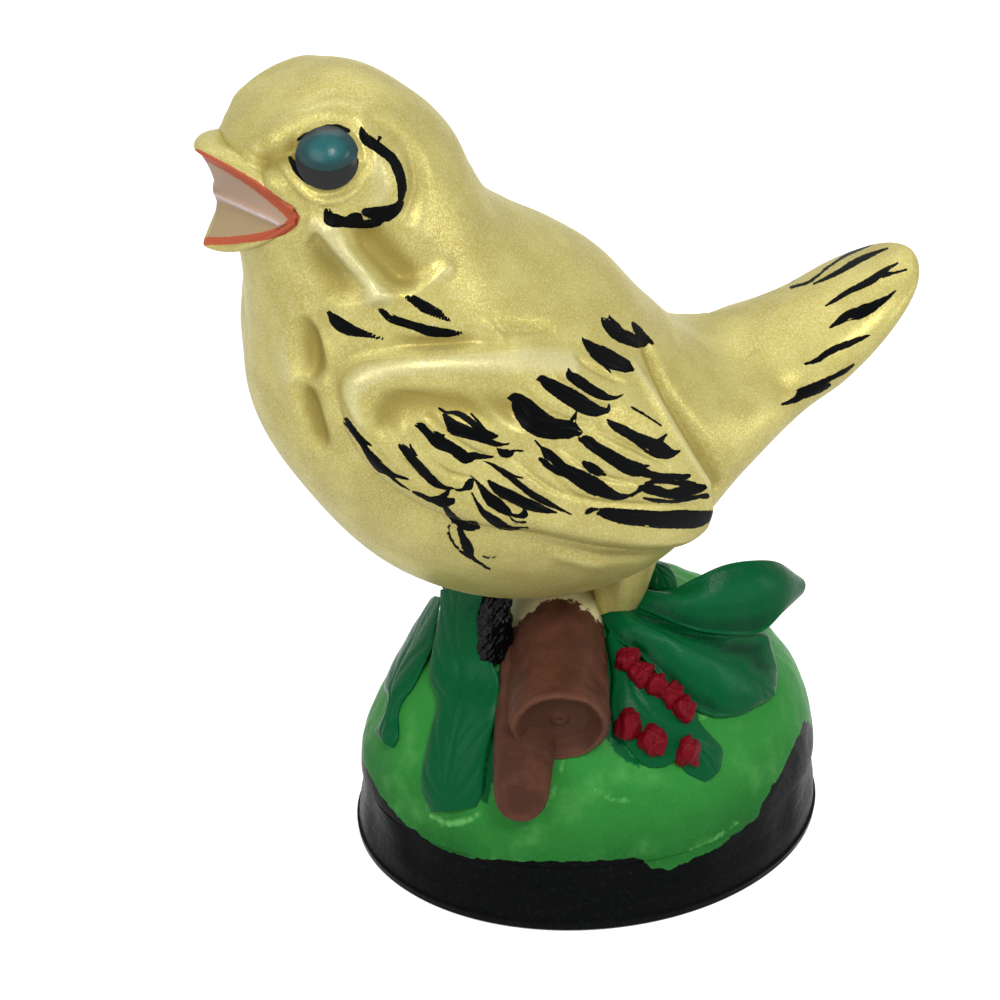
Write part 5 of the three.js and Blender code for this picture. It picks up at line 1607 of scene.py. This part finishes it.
def base_paint():
    """Green, with painted shade making it deeper low down, above and satin black below one uneven painted
    edge that mound and plinth share, with painted shadow in dark green beside the leaves and painted
    highlights in pale green spots."""
    material, tree, shader = finish_tree("base_paint")
    place = object_place(tree)
    fine = noise(tree, place, 0.5, 4.0, 0.65)
    # Painted shade: the green deepens towards the bottom of the mound.
    height = ramp(tree, parts(tree, place)[2], *MEADOW_SHADE_HEIGHTS, 0.0, 0.75)
    green = blend(tree, plus(tree, height, noise(tree, place, 9.0, 4.0), 0.8), MEADOW_SHADED, MEADOW)
    green = blend(tree, ramp(tree, noise(tree, place, 6.0, 5.0), 0.5, 0.8, 0.0, 0.35), green, MEADOW_PALE)
    green = blend(tree, ramp(tree, fine, 0.5, 0.9, 0.0, 0.2), green, MEADOW_PALE)
    ragged = plus(tree, -0.7, noise(tree, place, 0.9, 4.0), 1.4)
    # Painted highlights: pale green spots where the rim attribute holds them.
    rim = ramp(tree, reckon(tree, "ADD", ragged, stored(tree, "rim")), -0.1, 0.6, 0.0, 0.7)
    green = blend(tree, rim, green, MEADOW_PALE)
    # Painted shadow: dark green beside the leaves.
    shade = ramp(tree, reckon(tree, "ADD", ragged, stored(tree, "shade")), -0.1, 0.3)
    green = blend(tree, shade, green, LEAF)
    black = blend(tree, ramp(tree, fine, 0.5, 0.85), BLACK_PAINT, BLACK_DRY)
    edge = plus(tree, stored(tree, "paint_edge"), noise(tree, place, 1.6, 3.0), 0.9)
    feed(tree, shader.inputs["Base Color"], blend(tree, ramp(tree, edge, 0.42, 0.5), black, green))
    satin(tree, shader, GROUND_SHEEN, fine, GROUND_ROUGH)
    lumpy = plus(tree, fine, noise(tree, place, 3.0, 2.0), 6.0)
    feed(tree, shader.inputs["Normal"], bump(tree, lumpy, 0.25, 0.08))
    return material


def bark_paint():
    """Brown, with a painted highlight on the cut rim and painted shade deeper in the cut face."""
    material = painted("bark_brown", (BARK_DEEP, BARK, BARK_PALE), 4.0, BARK_ROUGH, 0.35)
    tree = material.node_tree
    base = tree.nodes["Principled BSDF"].inputs["Base Color"]
    brown = base.links[0].from_socket
    wear = plus(tree, stored(tree, "wear"), noise(tree, object_place(tree), 1.2, 4.0), 0.6)
    # Painted highlight round the cut rim.
    brown = blend(tree, ramp(tree, wear, 0.8, 1.5, 0.0, 0.35), brown, BARK_PALE)
    # Painted shade deeper in the dished cut face.
    brown = blend(tree, ramp(tree, wear, -0.5, 0.2, 0.75, 0.0), brown, BARK_DEEP)
    feed(tree, base, brown)
    return material


def log_paint():
    """The bark's brown, with cream slip run down over its top in ragged drips."""
    material = bark_paint()
    material.name = "log_brown"
    tree = material.node_tree
    base = tree.nodes["Principled BSDF"].inputs["Base Color"]
    drips = plus(tree, -1.2, noise(tree, object_place(tree), 1.1, 4.0), 2.4)
    cream = ramp(tree, reckon(tree, "ADD", drips, stored(tree, "slip")), 0.0, 0.25)
    feed(tree, base, blend(tree, cream, base.links[0].from_socket, SLIP_CREAM))
    return material


def leaf_paint():
    """Dark green, darker in the grooves of veins and folds, with a painted highlight in pale green on the
    ridges between them and dry-brushed pale flecks.
    """
    material, tree, shader = finish_tree("leaf_paint")
    place = object_place(tree)
    relief = parts(tree, stored(tree, "leaf_place", "Vector"))[2]
    fine = noise(tree, place, 0.45, 4.0, 0.7)
    slow = noise(tree, place, 4.0, 3.0)
    base = blend(tree, ramp(tree, relief, -0.5, -0.1), LEAF_DEEP, LEAF)
    dry = reckon(tree, "MULTIPLY", ramp(tree, fine, 0.45, 0.8), ramp(tree, slow, 0.45, 0.75))
    # Painted highlight: pale green on the ridge tops.
    ridge = ramp(tree, relief, 0.05, 0.45, 0.0, 0.35)
    base = blend(tree, plus(tree, ridge, dry, 0.4), base, LEAF_PALE)
    feed(tree, shader.inputs["Base Color"], base)
    satin(tree, shader, PAINT_SHEEN, fine, LEAF_ROUGH)
    lumpy = plus(tree, fine, noise(tree, place, 1.6, 2.0), 3.0)
    feed(tree, shader.inputs["Normal"], bump(tree, lumpy, 0.4, 0.09))
    return material


# Stage and light

WHITE = (1, 1, 1, 1)
FLOOR_REACH = 3.0
FLOOR_GREY = (0.55, 0.55, 0.55, 1)
FLOOR_ROUGHNESS = 0.9
FLOOR_GLOW = 0.85
WORLD_LIGHT = 0.3
LAMP_AIM = np.array([0.0, 0.0, 0.055])
# Lamps: place and side of the square in metres, and power in watts
LAMPS = {
    "key_lamp": ((0.0, -0.7, 0.84), 0.26, 4.8),
    "right_lamp": ((0.85, -0.62, 0.28), 0.36, 1.7),
    "left_lamp": ((-0.85, -0.45, 0.55), 0.8, 4.6),
    "low_lamp": ((0.8, -0.6, 0.1), 0.35, 0.2),
    "top_lamp": ((0.2, 0.5, 1.0), 0.9, 3.2),
}


def shown_ray(tree):
    """1 for rays that show the background: straight ones, reflected ones and ones through glass."""
    rays = tree.nodes.new("ShaderNodeLightPath")
    first = reckon(tree, "MAXIMUM", rays.outputs["Is Camera Ray"], rays.outputs["Is Glossy Ray"])
    return reckon(tree, "MAXIMUM", first, rays.outputs["Is Transmission Ray"])


def pale_floor():
    """A wide level square that glows for the rays that show the background, so that it reads as white."""
    reach = FLOOR_REACH
    mesh = bpy.data.meshes.new("floor")
    corners = [(-reach, -reach, 0), (reach, -reach, 0), (reach, reach, 0), (-reach, reach, 0)]
    mesh.from_pydata(corners, [], [(0, 1, 2, 3)])
    floor = bpy.data.objects.new("floor", mesh)
    bpy.context.scene.collection.objects.link(floor)
    material, tree, shader = finish_tree("floor_white")
    shader.inputs["Base Color"].default_value = FLOOR_GREY
    shader.inputs["Roughness"].default_value = FLOOR_ROUGHNESS
    shader.inputs["Specular IOR Level"].default_value = 0.0
    shader.inputs["Emission Color"].default_value = WHITE
    feed(tree, shader.inputs["Emission Strength"], reckon(tree, "MULTIPLY", shown_ray(tree), FLOOR_GLOW))
    mesh.materials.append(material)


def soft_lamp(name, place, size, power):
    """A square area lamp aimed at the bird."""
    data = bpy.data.lights.new(name, "AREA")
    data.shape = "SQUARE"
    data.size = size
    data.energy = power
    lamp = bpy.data.objects.new(name, data)
    bpy.context.scene.collection.objects.link(lamp)
    back = unit(np.array(place) - LAMP_AIM)
    right = unit(np.cross(UP, back))
    turn = Matrix(np.stack([right, np.cross(back, right), back], axis=1).tolist()).to_4x4()
    lamp.matrix_world = Matrix.Translation(place) @ turn


def studio_light():
    """A key lamp in front and above, one low on the right, wide fills from the left and above, a faint low
    one, and a world that is dim as light and white as background."""
    for name, (place, size, power) in LAMPS.items():
        soft_lamp(name, place, size, power)
    world = bpy.data.worlds.new("studio")
    bpy.context.scene.world = world
    world.use_nodes = True
    tree = world.node_tree
    background = tree.nodes["Background"]
    background.inputs["Color"].default_value = WHITE
    feed(tree, background.inputs["Strength"], plus(tree, WORLD_LIGHT, shown_ray(tree), 1.0 - WORLD_LIGHT))


# Assembly

def settle(piece, material):
    """Gives a piece its finish, and stands it in for the node of its own name."""
    piece.data.materials.append(material)
    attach(piece, "root")
    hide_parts(piece.name.removesuffix(CAST))


BIRD_STROKES = WING_STROKES + COLLAR_STROKES + CHEEK_STROKES + TAIL_STROKES + EYELID_STROKES


def dress_bird():
    """Body, tail, wings and beak in pearl gold, with strokes and lips painted on."""
    gold = pearl_gold("pearl_gold", marked=True)
    pieces = [bird_body(), tail(), wing("wing_left", -1), wing("wing_right", 1)]
    pieces.append(beak_half("beak_upper", BEAK_UPPER_TIP, UPPER_LIP_BOW, 1))
    pieces.append(beak_half("beak_lower", BEAK_LOWER_TIP, LOWER_LIP_BOW, -1))
    for piece in pieces:
        pixels = paint_pixels(piece)
        store_brush(piece, brush_field(pixels, BIRD_STROKES))
        above_chin = piece_points(piece)[:, 2] > PERCH[2] + CHIN_HEIGHT
        store(piece, "lip", np.where(above_chin, brush_inside(pixels, LIP_STROKES), -BRUSH_REACH))
        settle(piece, gold)


# Line between the mouth's pink and tan: a pixel on it, its slope and its soft edge in pixels
MOUTH_LINE_AT = (215, 195)
MOUTH_LINE_SLOPE = 0.4
MOUTH_LINE_EDGE = (-6, 16)


def dress_face():
    """Eyes in teal with black lids, and the lining of the mouth."""
    teal = eye_teal()
    for name, side in (("eye_left", -1), ("eye_right", 1)):
        piece = eye(name, side)
        store_brush(piece, brush_field(paint_pixels(piece), EYELID_STROKES))
        settle(piece, teal)
    lining = mouth_lining()
    pixels = paint_pixels(lining)
    below = pixels[:, 1] - MOUTH_LINE_AT[1] - MOUTH_LINE_SLOPE * (pixels[:, 0] - MOUTH_LINE_AT[0])
    low = smoothstep(below, *MOUTH_LINE_EDGE)
    # Painted highlight along the tongue's ridge.
    tongue = brush_inside(pixels, [TONGUE_LINE])
    lip = brush_inside(pixels, LIP_STROKES)
    store(lining, "mouth", np.stack([low, tongue, lip], axis=1))
    settle(lining, mouth_cream())


# Pixels from the painted edge that count, and how far the base faces the view where it is seen
EDGE_REACH = 60.0
EDGE_IN_VIEW = (-0.3, 0.15)
# Waves of the edge where it isn't seen: height, number round the base and turn of the start
EDGE_WAVES = [(0.5, 3, 1.0), (0.4, 7, 0.0)]
# Reach of the slip above its lower edge, in millimetres
SLIP_REACH = 6.0


def paint_edge_height(piece):
    """Millimetres above the painted edge: the signed pixel distance to its line where the base is in view,
    and the height above a slow wave elsewhere."""
    points = piece_points(piece)
    gap, place, across = nearest_on_line(photo_pixels(points), np.array(PAINT_EDGE, float))
    seen = -np.sign(across) * np.minimum(gap, EDGE_REACH) / PIXELS_PER_MM
    bearing = np.arctan2(points[:, 1], points[:, 0])
    wave = sum(height * np.sin(number * bearing + turn) for height, number, turn in EDGE_WAVES)
    unseen = points[:, 2] - PLINTH_HEIGHT - wave
    facing = unit(points[:, :2]) @ unit(VIEW_BACK[:2])
    return unseen + (seen - unseen) * smoothstep(facing, *EDGE_IN_VIEW)


def slip_height(piece):
    """Millimetres above the lower edge of the slip, as the photograph sees it, up to a few, and well below
    it further back."""
    gap, place, across = nearest_on_line(seen_pixels(piece), fine_line(SLIP_EDGE))
    height = -np.sign(across) * gap / PIXELS_PER_MM
    return np.where(height > SLIP_REACH, -SLIP_REACH, height)


def dress_base():
    """Mound and plinth in the paint they share, then log, branch, leaves and berries."""
    ground = base_paint()
    for piece, slot in ((mound(), "meadow_green"), (plinth(), "black_paint")):
        store(piece, "paint_edge", paint_edge_height(piece))
        pixels = seen_pixels(piece)
        # Painted shadow beside the leaves and painted highlights on the mound, from listed pixels.
        store(piece, "shade", brush_inside(pixels, LEAF_SHADOW_STROKES))
        store(piece, "rim", brush_inside(pixels, MOUND_HIGHLIGHT_STROKES))
        settle(piece, ground)
    log = main_log()
    store(log, "slip", slip_height(log))
    settle(log, log_paint())
    settle(side_branch(), bark_paint())
    green = leaf_paint()
    for name in LEAVES:
        settle(leaf(name), green)
    red = painted("berry_red", (BERRY, BERRY, BERRY_PALE), 1.2, BERRY_ROUGH, 0.3)
    for number in range(len(BERRIES)):
        settle(berry(number), red)


def dress_legs():
    """Tufted legs in plain pearl gold and black feet."""
    tuft = pearl_gold("cream_tuft", marked=False)
    tones = (BLACK_PAINT, BLACK_PAINT, BLACK_PAINT)
    black = painted("foot_black", tones, 1.0, FOOT_ROUGH, 0.5, FOOT_SHEEN)
    for word, side in (("left", -1), ("right", 1)):
        settle(leg(f"leg_{word}", side), tuft)
        settle(foot(f"foot_{word}", side), black)


set_camera()
pale_floor()
studio_light()
dress_base()
dress_legs()
dress_bird()
dress_face()
bpy.context.scene.view_settings.view_transform = "Standard"
